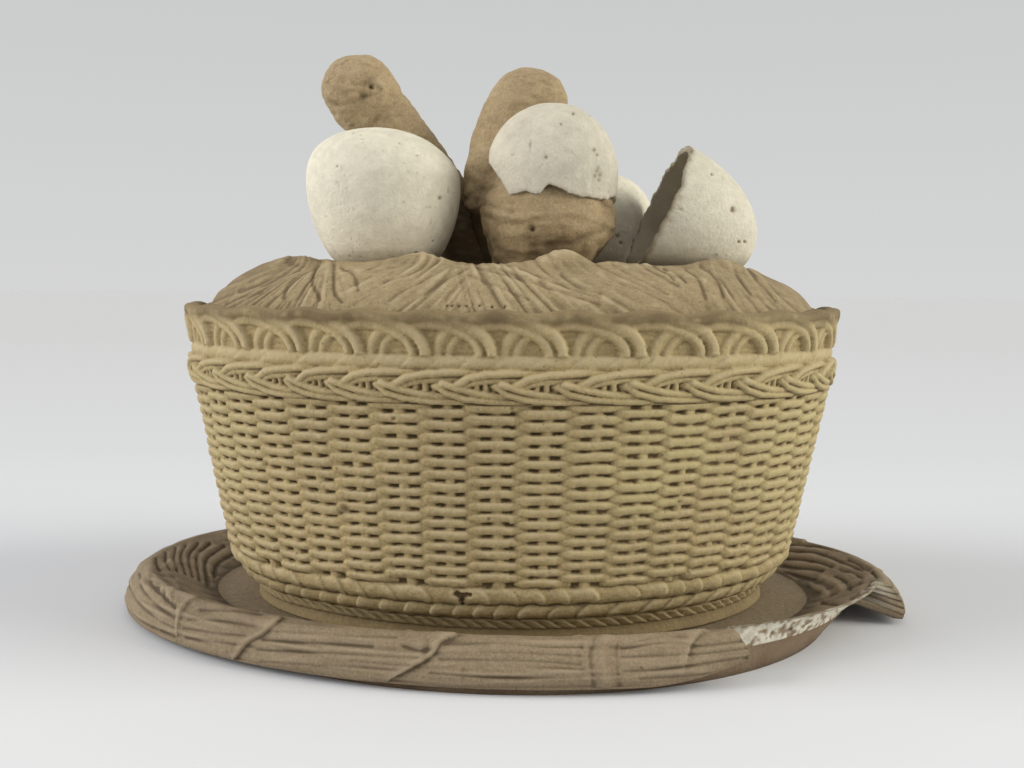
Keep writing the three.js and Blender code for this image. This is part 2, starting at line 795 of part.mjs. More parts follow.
function coverGeometry() {
  const beds = [leftEggForm, backEggForm, openShellForm, middleBirdForm, leftBirdForm]
    .map((form) => form(luteGap).subtract(slabBelow(socketFloor)));
  return geometryOf(solidOf(loft(coverRings())).subtract(joined(beds)));
}

// The dish, piece by piece
const dish = new THREE.Group();

function addPiece(name, geometry, colour, roughness) {
  const material = new THREE.MeshStandardMaterial({ color: colour, roughness, metalness: 0 });
  const mesh = new THREE.Mesh(geometry, material);
  mesh.name = name;
  dish.add(mesh);
}

addPiece('stand', standGeometry(), standColour, dryRoughness);
addPiece('basket_body', basketGeometry(), caneColour, dryRoughness);
addPiece('liner', linerGeometry(), linerColour, glazeRoughness);
addPiece('cover', coverGeometry(), coverColour, dryRoughness);
addPiece('egg_whole_left', eggGeometry(leftEggForm), shellColour, dryRoughness);
addPiece('egg_whole_back', backEggGeometry(), shellColour, dryRoughness);
addPiece('eggshell_cap', capGeometry(), shellColour, dryRoughness);
addPiece('eggshell_open', openShellGeometry(), shellColour, dryRoughness);
addPiece('hatchling_left', leftBirdGeometry(), birdColour, dryRoughness);
addPiece('hatchling_middle', middleBirdGeometry(), birdColour, dryRoughness);

export default dish;
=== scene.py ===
import math

import bpy
import numpy as np
from mathutils import Matrix, Vector


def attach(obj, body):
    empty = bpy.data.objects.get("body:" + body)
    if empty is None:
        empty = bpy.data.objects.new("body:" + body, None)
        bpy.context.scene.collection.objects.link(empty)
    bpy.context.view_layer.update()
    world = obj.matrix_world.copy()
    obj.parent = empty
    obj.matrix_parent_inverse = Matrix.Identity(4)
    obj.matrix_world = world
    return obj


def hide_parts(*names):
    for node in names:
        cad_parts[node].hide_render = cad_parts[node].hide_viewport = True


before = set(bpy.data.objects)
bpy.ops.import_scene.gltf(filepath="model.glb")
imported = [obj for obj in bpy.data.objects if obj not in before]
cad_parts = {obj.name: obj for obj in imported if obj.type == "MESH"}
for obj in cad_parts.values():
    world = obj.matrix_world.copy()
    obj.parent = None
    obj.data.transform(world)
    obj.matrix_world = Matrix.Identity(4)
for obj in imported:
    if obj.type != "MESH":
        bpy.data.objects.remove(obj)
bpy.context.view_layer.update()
MM = 0.001
TAU = 2 * math.pi


# The photograph's view, in millimetres and in its pixels
EYE = np.array((0.0, -463.0, 135.8))
PITCH, ROLL, PAN = (math.radians(angle) for angle in (5.25, 0.51, -0.03))
FOCAL, CENTRE_X, CENTRE_Y = 1100.0, 512.0, 384.0
FORWARD = np.array((
    -math.sin(PAN) * math.cos(PITCH), math.cos(PAN) * math.cos(PITCH), -math.sin(PITCH),
))
LEVEL = np.cross(FORWARD, (0, 0, 1)) / math.cos(PITCH)
RIGHT = math.cos(ROLL) * LEVEL + math.sin(ROLL) * np.cross(LEVEL, FORWARD)
UP = np.cross(RIGHT, FORWARD)


def seen_at(points):
    """Where points in millimetres appear in the photograph."""
    ray = points - EYE
    depth = ray @ FORWARD
    return CENTRE_X + FOCAL * (ray @ RIGHT) / depth, CENTRE_Y - FOCAL * (ray @ UP) / depth


# Noise from hashed whole numbers, so that each run gives the same shapes
def lattice(ix, iy, iz, seed):
    h = (ix * 73856093) ^ (iy * 19349663) ^ (iz * 83492791) ^ (seed * 26544357)
    h = ((h ^ (h >> 13)) * 1274126177) & 0x7FFFFFFF
    h = ((h ^ (h >> 15)) * 40503) & 0xFFFFFF
    return h / float(0xFFFFFF)


def noise(points, size, seed):
    """Smooth noise from -1 to 1; size is the width of its lumps in the points' own units."""
    p = np.asarray(points, float) / size
    cell = np.floor(p).astype(np.int64)
    f = p - cell
    f = f * f * (3 - 2 * f)
    total = 0.0
    for dx in (0, 1):
        for dy in (0, 1):
            for dz in (0, 1):
                weight = (
                    (f[..., 0] if dx else 1 - f[..., 0])
                    * (f[..., 1] if dy else 1 - f[..., 1])
                    * (f[..., 2] if dz else 1 - f[..., 2])
                )
                corner = cell + np.array((dx, dy, dz))
                total = total + weight * lattice(corner[..., 0], corner[..., 1], corner[..., 2], seed)
    return 2 * total - 1


def chance(numbers, seed):
    """A number from 0 to 1 for each whole number, always the same one for the same seed."""
    n = np.asarray(numbers).astype(np.int64)
    return lattice(n, n * 0 + 7, n * 0 + 3, seed)


def ease(low, high, x):
    """Rises smoothly from 0 at low to 1 at high, or falls when low is the higher one."""
    t = np.clip((x - low) / (high - low), 0, 1)
    return t * t * (3 - 2 * t)


def dome(x, half):
    """Round top of a rod of that half width, 1 at its middle and 0 from its edges on."""
    return np.sqrt(np.clip(1 - (x / half) ** 2, 0, None))


# Ovals
def even_angles(aspect, shares):
    """Angles round an oval that lie evenly along its length, from the front towards +X."""
    steps = 4000
    middle = (np.arange(steps) + 0.5) * TAU / steps
    way = np.concatenate([[0], np.cumsum(np.hypot(np.cos(middle), aspect * np.sin(middle)))])
    whole = np.floor(shares)
    return TAU * (whole + np.interp(shares - whole, way / way[-1], np.arange(steps + 1) / steps))


def joined(x, y, z):
    """Points from their x, y and z, each of them a number or an array."""
    return np.stack(np.broadcast_arrays(x, y, z), -1)


def oval(angle, a, b, z, out=0.0):
    """Points on an oval of half sizes a and b, moved out along its normal."""
    nx, ny = np.sin(angle) / a, -np.cos(angle) / b
    length = np.hypot(nx, ny)
    return joined(a * np.sin(angle) + out * nx / length, -b * np.cos(angle) + out * ny / length, z)


def stacked(angle, sections):
    """Rings of points round ovals, each given by its half length, half width and height."""
    return np.concatenate([oval(angle, *section) for section in sections])


def turned(points, degrees):
    """Points turned about the upright axis."""
    c, s = math.cos(math.radians(degrees)), math.sin(math.radians(degrees))
    x, y, z = (points[..., k] for k in range(3))
    return joined(x * c - y * s, x * s + y * c, z)


# Meshes
def mesh_piece(name, verts, quads, tris, fields):
    """An object from points in millimetres, with point attributes for its material."""
    mesh = bpy.data.meshes.new(name)
    quads = np.asarray(quads, np.int32).reshape(-1, 4)
    tris = np.asarray(tris, np.int32).reshape(-1, 3)
    corners = np.concatenate([quads.ravel(), tris.ravel()])
    starts = np.concatenate([np.arange(len(quads)) * 4, 4 * len(quads) + np.arange(len(tris)) * 3])
    mesh.vertices.add(len(verts))
    mesh.vertices.foreach_set("co", (np.asarray(verts) * MM).astype(np.float32).ravel())
    mesh.loops.add(len(corners))
    mesh.loops.foreach_set("vertex_index", corners.astype(np.int32))
    mesh.polygons.add(len(starts))
    mesh.polygons.foreach_set("loop_start", starts.astype(np.int32))
    mesh.update(calc_edges=True)
    mesh.validate()
    mesh.shade_smooth()
    for field, values in fields.items():
        attribute = mesh.attributes.new(field, "FLOAT", "POINT")
        attribute.data.foreach_set("value", np.asarray(values, np.float32).ravel())
    piece = bpy.data.objects.new(name, mesh)
    bpy.context.scene.collection.objects.link(piece)
    return piece


def ring_piece(name, rings, fields):
    """A closed body from rings of points, out, up and in; its ends close on their middles."""
    rows, columns, _ = rings.shape
    index = np.arange(rows * columns).reshape(rows, columns)
    after = np.roll(index, -1, 1)
    quads = np.stack([index[:-1], after[:-1], after[1:], index[1:]], -1).reshape(-1, 4)
    low, high = rows * columns, rows * columns + 1
    tris = np.concatenate([
        np.stack([np.full(columns, low), after[0], index[0]], -1),
        np.stack([np.full(columns, high), index[-1], after[-1]], -1),
    ])
    verts = np.concatenate([rings.reshape(-1, 3), rings[:1].mean(1), rings[-1:].mean(1)])
    whole = {}
    for field, values in fields.items():
        values = np.broadcast_to(values, (rows, columns))
        whole[field] = np.concatenate([values.ravel(), values[:1].mean(1), values[-1:].mean(1)])
    return mesh_piece(name, verts, quads, tris, whole)


def blurred(field, passes):
    """A field over rings, smoothed along and across them."""
    for step in passes:
        along = (np.roll(field, step, 1) + np.roll(field, -step, 1)) / 4 + field / 2
        up = np.concatenate([along[step:], np.repeat(along[-1:], step, 0)])
        down = np.concatenate([np.repeat(along[:1], step, 0), along[:-step]])
        field = along / 2 + (up + down) / 4
    return field


def hollows(relief, depth, passes=(1, 2, 4)):
    """0.5 on plain ground, towards 1 in hollows and towards 0 on ridges."""
    return np.clip(0.5 + (blurred(relief, passes) - relief) / (2 * depth), 0, 1)


def strand_heights(u, v, period, lines, reach):
    """Height of the highest strand at each place: u along the wall, v up it.
    Each line is its points (u, v, level), its half width and the rise of its round top."""
    best = np.full(u.shape, NO_STRAND)
    start = np.floor(u / period)
    for points, half, crown in lines:
        pts = np.asarray(points, float)
        for shift in reach:
            uu = u - (start + shift) * period
            near = (uu > pts[:, 0].min() - half) & (uu < pts[:, 0].max() + half)
            near &= (v > pts[:, 1].min() - half) & (v < pts[:, 1].max() + half)
            if not near.any():
                continue
            a, b = uu[near], v[near]
            closest = np.full(a.shape, 99.0)
            level = np.zeros(a.shape)
            for p, q in zip(pts[:-1], pts[1:]):
                du, dv, dl = q - p
                t = np.clip(((a - p[0]) * du + (b - p[1]) * dv) / (du * du + dv * dv), 0, 1)
                d = np.hypot(a - p[0] - t * du, b - p[1] - t * dv)
                closer = d < closest
                closest[closer] = d[closer]
                level[closer] = (p[2] + t * dl)[closer]
            height = np.where(closest < half, level + crown * dome(closest, half), NO_STRAND)
            best[near] = np.maximum(best[near], height)
    return best


def displaced(place, relief):
    """Rings moved out along their own normals."""
    along = np.roll(place, -1, 1) - np.roll(place, 1, 1)
    normal = np.cross(along, np.gradient(place, axis=0))
    normal /= np.maximum(np.linalg.norm(normal, axis=2, keepdims=True), 1e-9)
    return place + relief[..., None] * normal


def to_line(px, py, points):
    """Distance to a line of points, signed by the side: more on its right hand going along."""
    closest = np.full(px.shape, 1e9)
    side = np.ones(px.shape)
    for (x0, y0), (x1, y1) in zip(points[:-1], points[1:]):
        dx, dy = x1 - x0, y1 - y0
        t = np.clip(((px - x0) * dx + (py - y0) * dy) / (dx * dx + dy * dy), 0, 1)
        d = np.hypot(px - x0 - t * dx, py - y0 - t * dy)
        closer = d < closest
        closest = np.where(closer, d, closest)
        side = np.where(closer, np.sign(dx * (py - y0) - dy * (px - x0)), side)
    return closest * side


def smooth_line(line):
    """The line's points, given as x, y, x, y and so on, with three more between each two of
    them on a smooth curve through them all."""
    points = np.reshape(np.asarray(line, float), (-1, 2))
    if len(points) < 3:
        return points
    ends = np.concatenate([2 * points[:1] - points[1:2], points, 2 * points[-1:] - points[-2:-1]])
    curve = []
    for a, b, c, d in zip(ends[:-3], ends[1:-2], ends[2:-1], ends[3:]):
        bend = 2 * a - 5 * b + 4 * c - d
        swing = 3 * b - a - 3 * c + d
        for t in (0, 0.25, 0.5, 0.75):
            curve.append(0.5 * (2 * b + (c - a) * t + bend * t**2 + swing * t**3))
    return np.array(curve + [points[-1]])


def drawn_lines(px, py, groups, reach):
    """Each line of the groups, as its height, its width, the places within the reach of it and
    their distances to it. A group is a height in millimetres, a width in pixels and its lines."""
    for height, width, lines in groups:
        for line in lines:
            points = smooth_line(line)
            low, high = points.min(0) - reach * width, points.max(0) + reach * width
            near = (px > low[0]) & (px < high[0]) & (py > low[1]) & (py < high[1])
            if near.any():
                yield height, width, near, to_line(px[near], py[near], points)


def strokes(px, py, groups):
    """Relief of ridges (more than 0) and grooves (less) drawn in the photograph's pixels."""
    relief = np.zeros(px.shape)
    for height, width, near, distance in drawn_lines(px, py, groups, 3):
        relief[near] += height * np.exp(-((distance / width) ** 2))
    return relief


def steps(px, py, groups):
    """Relief of overlaps: raised on the right hand of a line and fading away from it."""
    relief = np.zeros(px.shape)
    for height, width, near, distance in drawn_lines(px, py, groups, 2):
        rise = np.clip(distance, -1, 1) * 0.5
        relief[near] += height * rise * np.exp(-np.abs(distance) / width)
    return relief


def spots(px, py, places):
    """Share of each spot's colour; each is its place and radius in pixels."""
    share = np.zeros(px.shape)
    for x, y, radius in places:
        share = np.maximum(share, np.exp(-((px - x) ** 2 + (py - y) ** 2) / radius**2))
    return share


def skin(name, form, reach, relief, low, high, step, paint):
    """A closed mesh where a form's distance less its relief is zero, over a grid of cells. The
    relief is worked out within the reach of the surface only, where it shows."""
    axes = [np.arange(low[k], high[k] + step, step) for k in range(3)]
    grid = np.stack(np.meshgrid(*axes, indexing="ij"), -1)
    value = form(grid)
    near = np.abs(value) < reach
    value[near] -= relief(grid[near])
    inside = value < 0
    shape = np.array(value.shape) - 1

    def corner(field, offset):
        return field[tuple(slice(o, o + n) for o, n in zip(offset, shape))]

    total, count = np.zeros((*shape, 3)), np.zeros(shape)
    for axis in range(3):
        first, second = [k for k in range(3) if k != axis]
        for a in (0, 1):
            for b in (0, 1):
                start = [0, 0, 0]
                start[first], start[second] = a, b
                end = list(start)
                end[axis] = 1
                v0, v1 = corner(value, start), corner(value, end)
                cross = (v0 < 0) != (v1 < 0)
                t = np.where(cross, v0 / np.where(cross, v0 - v1, 1), 0)
                total[..., axis] += np.where(cross, t, 0)
                total[..., first] += a * cross
                total[..., second] += b * cross
                count += cross
    cells = count > 0
    index = np.full(shape, -1)
    index[cells] = np.arange(cells.sum())
    where = np.argwhere(cells)
    verts = np.asarray(low) + step * (where + total[cells] / count[cells][:, None])
    quads = []
    for axis in range(3):
        first, second = [(axis + k) % 3 for k in (1, 2)]
        ahead = np.roll(inside, -1, axis)
        change = inside != ahead
        trim = [slice(1, -1)] * 3
        trim[axis] = slice(0, -1)
        mask = np.zeros(change.shape, bool)
        mask[tuple(trim)] = change[tuple(trim)]
        at = np.argwhere(mask)
        around = []
        for a, b in ((1, 1), (0, 1), (0, 0), (1, 0)):
            cell = at.copy()
            cell[:, first] -= a
            cell[:, second] -= b
            around.append(index[cell[:, 0], cell[:, 1], cell[:, 2]])
        faces = np.stack(around, -1)
        flip = ~inside[mask]
        faces[flip] = faces[flip][:, ::-1]
        quads.append(faces)
    return mesh_piece(name, verts, np.concatenate(quads), [], paint(verts))


# Materials
class Nodes:
    """A node tree, with short ways to add to it."""

    def __init__(self, tree):
        self.tree = tree

    def add(self, kind, **settings):
        node = self.tree.nodes.new(kind)
        for key, value in settings.items():
            setattr(node, key, value)
        return node

    def link(self, value, target):
        """Sets an input to a number or a colour, or links it to another node's output."""
        if isinstance(value, tuple):
            target.default_value = (*value, 1)
        elif isinstance(value, (int, float)):
            target.default_value = value
        else:
            self.tree.links.new(value, target)

    def field(self, name):
        return self.add("ShaderNodeAttribute", attribute_name=name).outputs["Fac"]

    def ramp(self, source, *stops):
        """Stops are (place, value), with the value a number or a colour."""
        node = self.add("ShaderNodeValToRGB")
        elements = node.color_ramp.elements
        while len(elements) < len(stops):
            elements.new(0.5)
        for element, (place, value) in zip(elements, stops):
            element.position = place
            colour = value if isinstance(value, tuple) else (value, value, value)
            element.color = (*colour, 1)
        self.link(source, node.inputs["Fac"])
        return node.outputs["Color"]

    def mix(self, share, first, second, way="MIX"):
        """Mixes two colours; a colour mix has its sockets at these numbers."""
        node = self.add("ShaderNodeMix", data_type="RGBA", blend_type=way)
        for number, value in ((0, share), (6, first), (7, second)):
            self.link(value, node.inputs[number])
        return node.outputs[2]

    def maths(self, first, second, way):
        node = self.add("ShaderNodeMath", operation=way)
        self.link(first, node.inputs[0])
        self.link(second, node.inputs[1])
        return node.outputs[0]


class Material(Nodes):
    """A material's node tree, round its own shader."""

    def __init__(self, name):
        self.material = bpy.data.materials.new(name)
        self.material.use_nodes = True
        super().__init__(self.material.node_tree)
        self.shader = self.tree.nodes["Principled BSDF"]
        self.place = self.add("ShaderNodeTexCoord").outputs["Object"]

    def noise(self, scale, detail, roughness=0.55):
        """Noise whose lumps are counted per metre."""
        node = self.add("ShaderNodeTexNoise")
        node.inputs["Scale"].default_value = scale
        node.inputs["Detail"].default_value = detail
        node.inputs["Roughness"].default_value = roughness
        self.link(self.place, node.inputs["Vector"])
        return node.outputs["Fac"]

    def bump(self, height, strength, distance):
        node = self.add("ShaderNodeBump")
        node.inputs["Strength"].default_value = strength
        node.inputs["Distance"].default_value = distance
        self.link(height, node.inputs["Height"])
        self.link(node.outputs["Normal"], self.shader.inputs["Normal"])


def stoneware(
    name, body, pale, dark, stain_and_shade, grain=1.0, specks=0.5, rough=0.86, sandy=1.5, pale_field=None
):
    """Dry unglazed ware: mottled body, pale on its ridges as wear and painted highlight,
    dark in its hollows as dirt and painted shade, a stain and painted shade where the
    field says so, small dark specks and a sandy grain. Noise scales are in lumps per metre."""
    n = Material(name)
    darker, lighter = tuple(c * 0.9 for c in body), tuple(min(1, c * 1.07) for c in body)
    mottle = n.ramp(n.noise(26, 4), (0.32, darker), (0.68, lighter))
    small = n.ramp(n.noise(240, 3), (0.3, 0.9), (0.7, 1.06))
    colour = n.mix(1.0, mottle, small, "MULTIPLY")
    sand = n.ramp(n.noise(1000, 2, 0.6), (0.3, 1 - 0.13 * sandy), (0.7, 1 + 0.1 * sandy))
    colour = n.mix(1.0, colour, sand, "MULTIPLY")
    hollow = n.field("hollow")
    # Pale on the ridges: wear and painted highlight
    colour = n.mix(n.ramp(hollow, (0.14, 0.75), (0.44, 0.0)), colour, pale)
    # Dark in the hollows: dirt and painted shade
    dirt_and_shade = n.ramp(hollow, (0.54, 0.0), (0.86, 0.92))
    colour = n.mix(dirt_and_shade, colour, dark)
    # The stain field, which also carries painted shade under the stand, inside the open shell and round
    # the dish's foot
    stained_and_shaded = n.maths(n.field("stain_and_shade"), n.ramp(n.noise(60, 4), (0.3, 0.45), (0.7, 1.0)), "MULTIPLY")
    colour = n.mix(n.maths(stained_and_shaded, 1.0, "MINIMUM"), colour, stain_and_shade)
    # The pale field: painted highlight on the cane, the bare fracture's own colour on the stand
    if pale_field:
        colour = n.mix(n.field("pale"), colour, pale_field)
    speck = n.ramp(n.noise(700, 1, 0.4), (0.2, 1.0), (0.27, 0.0))
    colour = n.mix(n.maths(speck, specks, "MULTIPLY"), colour, tuple(c * 0.45 for c in dark))
    n.link(colour, n.shader.inputs["Base Color"])
    roughness = n.ramp(n.noise(420, 2), (0.2, rough - 0.06), (0.8, rough + 0.08))
    n.link(roughness, n.shader.inputs["Roughness"])
    height = n.maths(n.noise(2600, 2, 0.7), n.maths(n.noise(700, 3, 0.6), 1.6, "MULTIPLY"), "ADD")
    n.bump(height, 0.8 * grain, 0.00034)
    return n.material


# The dish: its levels and sizes, as the frame has them
BASE, FOOT_TOP, ROPE_TOP, WALE_MID, WEAVE_LOW = 7.7, 12.5, 16.4, 22.9, 30.0
WEAVE_TOP, PLAIT_TOP, ARCADE_LOW, RIM_TOP = 95.0, 106.9, 111.6, 127.1
RIM_A, RIM_B, RIM_THICKNESS = 135.0, 102.0, 6.5
LIP_ROLL, LIP_MIDDLE, LIP_HALF = 1.2, RIM_TOP - 2.2, 2.1
ASPECT = RIM_B / RIM_A
# The plain wall under the relief: levels, with its half length and half width there
WALL_Z = (7.7, 14.5, 16.8, 19.0, 22.2, 25.4, 31.9, 95.0, 106.9, 111.6, 123.6, 127.1)
WALL_A = (105.7, 104.7, 106.5, 109.5, 111.8, 114.6, 117.0, 129.4, 130.5, 130.5, 132.6, 133.0)
WALL_B = (79.8, 78.8, 80.4, 82.9, 84.4, 86.4, 88.4, 97.7, 98.5, 98.5, 99.8, 100.1)
WALL_COLUMNS = 1344
# The weave: how many stakes and strands it has, and where the first stake stands
STAKES, STRANDS, STAKE_PHASE = 42, 30, 0.264
STRAND_PITCH = (WEAVE_TOP - WEAVE_LOW) / STRANDS
# Height of a strand along its way, in stakes from the one that it passes before
STRAND_PLACES = (-1.0, -0.73, -0.66, -0.6, -0.55, -0.48, 0.26, 0.38, 0.47, 0.56, 0.66, 0.73, 1.0)
STRAND_LEVELS = (-2.5, -2.4, -0.3, 0.0, 0.75, 1.0, 1.0, 0.55, 0.1, -0.15, -0.3, -2.4, -2.5)
# Pits beside a bared stake, in stakes from its middle; the stake's own size in millimetres
PIT_PLACE, PIT_REACH, PIT_FLOOR = 0.215, 0.135, -2.0
STAKE_PITCH, STAKE_HALF = 16.3, 2.4
# Height where there is no strand
NO_STRAND = -9.0
# The pits are filled from these columns to the right and from these rows down, in pixels
FILLED_X, FILLED_Y = (560, 620), (395, 430)
# The foot sags round this column of pixels, and this many to each side
FOOT_SAG_X, FOOT_SAG_REACH = 262, 42


def stake_place(share, place):
    """Place along the wall counted in stakes, a little uneven as a basket is."""
    return share * STAKES + STAKE_PHASE + 0.07 * noise(place, 13, 13)


def passing_strand(strand, row, number, signed, pit, hold):
    """Height of one strand, where it passes before its stakes and where it dives behind them."""
    inside = (strand > -1) & (strand < STRANDS)
    front = (number + strand) % 2 > 0.5
    along = np.where(front, signed, signed - np.sign(signed))
    level = np.interp(along, STRAND_PLACES, STRAND_LEVELS)
    taper = np.interp(along, (-0.64, -0.57, -0.48), (0.5, 0.88, 1.0))
    vary = chance(strand * 57 + number, 5)
    lean = chance(strand * 41 + number, 7) - 0.5
    shift = chance(strand * 31 + number, 6) - 0.5
    middle = front * hold * (0.7 * shift + 1.6 * lean * signed)
    t = (row - strand) * STRAND_PITCH - middle
    notch = 0.46 * pit * (0.6 + 0.7 * chance(strand * 23 + number, 9)) * (t < 0)
    half = np.where(front, (1.86 + 0.26 * vary) * taper - notch, 1.7)
    level = np.where(front, level * (0.8 + 0.4 * vary), level)
    height = level + 1.5 * dome(t, half) + 0.6 * t / half - 0.95
    return np.where(inside & (np.abs(t) < half), height, NO_STRAND)


def weave_relief(share, z, place):
    """Strands that pass before one stake and behind the next. Between two strands the stake
    is bared at the column's middle, with a pit on each side of it."""
    column = stake_place(share, place)
    number = np.round(column)
    signed = column - number
    wander = 0.34 * noise(place, 30, 11) + 0.16 * noise(place, 10, 12)
    row = (z + wander - WEAVE_LOW) / STRAND_PITCH - 0.5
    nearest = np.round(row)
    pit = np.exp(-(((np.abs(signed) - PIT_PLACE) / PIT_REACH) ** 4))
    hold = np.cos(math.pi * signed) ** 2

    # At the right of the front the pits are filled
    px, py = seen_at(place)
    worn = (place[..., 1] < 0) * ease(*FILLED_X, px) * ease(*FILLED_Y, py)
    worn = worn * (0.6 + 0.3 * ease(-0.3, 0.3, noise(place, 14, 15)))
    stake = PIT_FLOOR + 2.8 * dome(signed * STAKE_PITCH, STAKE_HALF) ** 0.6
    best = np.maximum(stake, PIT_FLOOR + 2.2 * worn) + 0.3 * noise(place, 2.2, 14)
    for step in (-2, -1, 0, 1, 2):
        best = np.maximum(best, passing_strand(nearest + step, row, number, signed, pit, hold))
    return best


def segment(turn, tail, power):
    """Rises over each turn of a row of segments up to its tail, and rounds off behind that."""
    part = turn - np.floor(turn)
    end = np.cos((part - tail) / (1 - tail) * math.pi / 2)
    return np.where(part < tail, (part / tail) ** power, end)


def wale_row(share, z, low, high, count, seed, way, deep, place):
    """A row of waling: thick overlapping segments, each with one rounded end on top."""
    turn = share * count + 0.8 * noise(place * (1, 1, 0), 27, seed)
    scallop = 0.09 * np.cos(TAU * turn)
    across = (z + 0.25 * noise(place, 11, seed + 2) - (low + high) / 2) / ((high - low) / 2) + scallop
    turn = turn + way * (0.1 * across + 0.16 * across**2)
    vary = chance(np.floor(turn) + 500, seed)
    part = turn - np.floor(turn)
    if way < 0:
        part = 1 - part
    swell = 1 - deep + deep * segment(part, 0.9, 0.8)
    fit = 1.04 - 0.12 * vary * np.sin(math.pi * part)
    body = dome(across - 0.12 * (vary - 0.5), fit)
    crease = 0.8 * deep * np.exp(-((part - 0.985) / 0.03) ** 2)
    height = 2.7 * body * swell - 0.35 + 0.4 * body * (vary - 0.5) - crease
    return np.where(body > 0, height, -0.9)


def wale_relief(share, z, place):
    """The two rows of waling, which slant against each other."""
    lower = wale_row(share, z, ROPE_TOP, WALE_MID, 66, 51, -1, 0.42, place)
    upper = wale_row(share, z, WALE_MID, WEAVE_LOW, 62, 52, 1, 0.26, place)
    return np.maximum(lower, upper)


def rope_relief(share, z, place):
    """A fine edging of short slanting leaves."""
    across = (z - (FOOT_TOP + ROPE_TOP) / 2) / ((ROPE_TOP - FOOT_TOP) / 2)
    turn = share * 106 + 0.55 * across + 0.12 * noise(place * (1, 1, 0), 9, 24)
    return dome(across, 1.0) * (0.25 + 1.35 * segment(turn, 0.82, 0.6))


def numbered(share, count, places, offsets):
    """Place round the wall counted in motifs from the front, fitted to the photograph's."""
    number = share * count
    number = number - count * (number > count / 2)
    return number - np.interp(number, places, offsets)


PLAIT_COUNT = 34
PLAIT_PERIOD = 21.7
PLAIT_PLACES = (-17, -7, -5, -4, -3, -2, -1, 0, 1, 3, 17)
PLAIT_OFFSETS = (0.2, 0.6, 0.6, 0.54, 0.32, 0.16, 0.15, 0.05, 0.11, 0.2, 0.2)
PLAIT_LINES = (
    (((-0.6, 6.0, 1.9), (4.0, 8.9, 2.1), (11, 10.5, 1.8), (20, 11.0, 1.1), (31, 10.4, -0.1)), 1.6, 1.5),
    (((1.2, 5.2, 1.6), (7.3, 7.6, 1.7), (14, 8.3, 1.3), (22, 8.3, 0.7), (30, 7.2, -0.3)), 1.3, 1.2),
    (((-5.2, 7.0, 2.3), (0.3, 5.0, 2.2), (7, 3.2, 1.7), (14, 2.3, 1.2), (26, 1.8, 0.1)), 1.45, 1.4),
    (((-7.2, 6.0, 1.7), (-3.4, 3.2, 1.9), (3.6, 1.1, 1.6), (13, 0.2, 1.1), (24, 0.0, 0.2)), 1.4, 1.4),
    (((7.4, 6.6, 1.3), (7.0, 4.4, 1.2)), 1.2, 1.1),
    (((10.4, 6.7, 1.4), (10.6, 4.6, 1.2)), 1.15, 1.1),
    (((13.0, 6.2, 1.1), (13.8, 4.4, 1.0)), 1.05, 1.0),
)


def plait_bands(share, z, place):
    """The plait's four bands and the three short ones between them."""
    number = numbered(share, PLAIT_COUNT, PLAIT_PLACES, PLAIT_OFFSETS)
    u = number * PLAIT_PERIOD + 0.8 * noise(place, 17, 21)
    v = (z - WEAVE_TOP - 1.1) / 0.88 + 0.4 * noise(place, 13, 22)
    return strand_heights(u, v, PLAIT_PERIOD, PLAIT_LINES, (-2, -1, 0, 1))


def plait_relief(share, z, place):
    return np.maximum(plait_bands(share, z, place), 0.85 + 0.5 * noise(place, 2.4, 23))


ARCH_COUNT = 28
ARCH_PERIOD = 26.4
ARCH_PLACES = (-14, -5, -3, -2, -1, 0, 1, 2, 4, 14)
ARCH_OFFSETS = (-0.05, 0.15, 0.19, 0.06, -0.06, -0.21, -0.29, -0.19, -0.05, -0.05)


def arch_line(half, rise, low, high):
    """A half oval from its left foot, which lies deep, to its right foot, which lies on top."""
    turns = np.linspace(math.pi, 0, 21)
    along = np.cos(turns)
    level = low + (high - low) * (along + 1) / 2
    return np.stack([half * along, rise * np.sin(turns) - 0.4, level], 1)


ARCH_LINES = (
    (arch_line(24.2, 13.9, -0.7, 1.0), 2.1, 1.4),
    (arch_line(19.4, 10.6, -0.8, 0.7), 1.75, 1.2),
)


def arch_number(share):
    return numbered(share, ARCH_COUNT, ARCH_PLACES, ARCH_OFFSETS)


def arcade_relief(share, z, place):
    u = arch_number(share) * ARCH_PERIOD + 0.5 * noise(place, 21, 31)
    v = z - ARCADE_LOW + 0.3 * noise(place, 15, 32)
    bands = strand_heights(u, v, ARCH_PERIOD, ARCH_LINES, (-1, 0, 1, 2))
    ground = -0.8 + 0.16 * np.sin(v * 2.6 + 2 * noise(place, 12, 33))
    return np.maximum(bands, ground)


def strip_relief(share, z, place):
    """A plain lapped ribbon between the plait and the arcade."""
    across = (z - (PLAIT_TOP + ARCADE_LOW) / 2) / ((ARCADE_LOW - PLAIT_TOP) / 2)
    turn = share * 55 - 0.22 * across + 0.7 * noise(place, 55, 41)
    return 0.35 + (0.45 + 0.55 * segment(-turn, 0.9, 0.7)) * dome(across, 1.05)


def foot_relief(share, z, place):
    """The plain foot, spread a little at its base."""
    return 0.5 * ease(4, 0, z - BASE)


# The wall's bands, each its lowest and highest level and its relief
BASKET_BANDS = (
    (0, FOOT_TOP, foot_relief),
    (FOOT_TOP, ROPE_TOP, rope_relief),
    (ROPE_TOP, WEAVE_LOW, wale_relief),
    (WEAVE_LOW, WEAVE_TOP, weave_relief),
    (WEAVE_TOP, PLAIT_TOP, plait_relief),
    (PLAIT_TOP, ARCADE_LOW, strip_relief),
    (ARCADE_LOW, RIM_TOP + 1, arcade_relief),
)
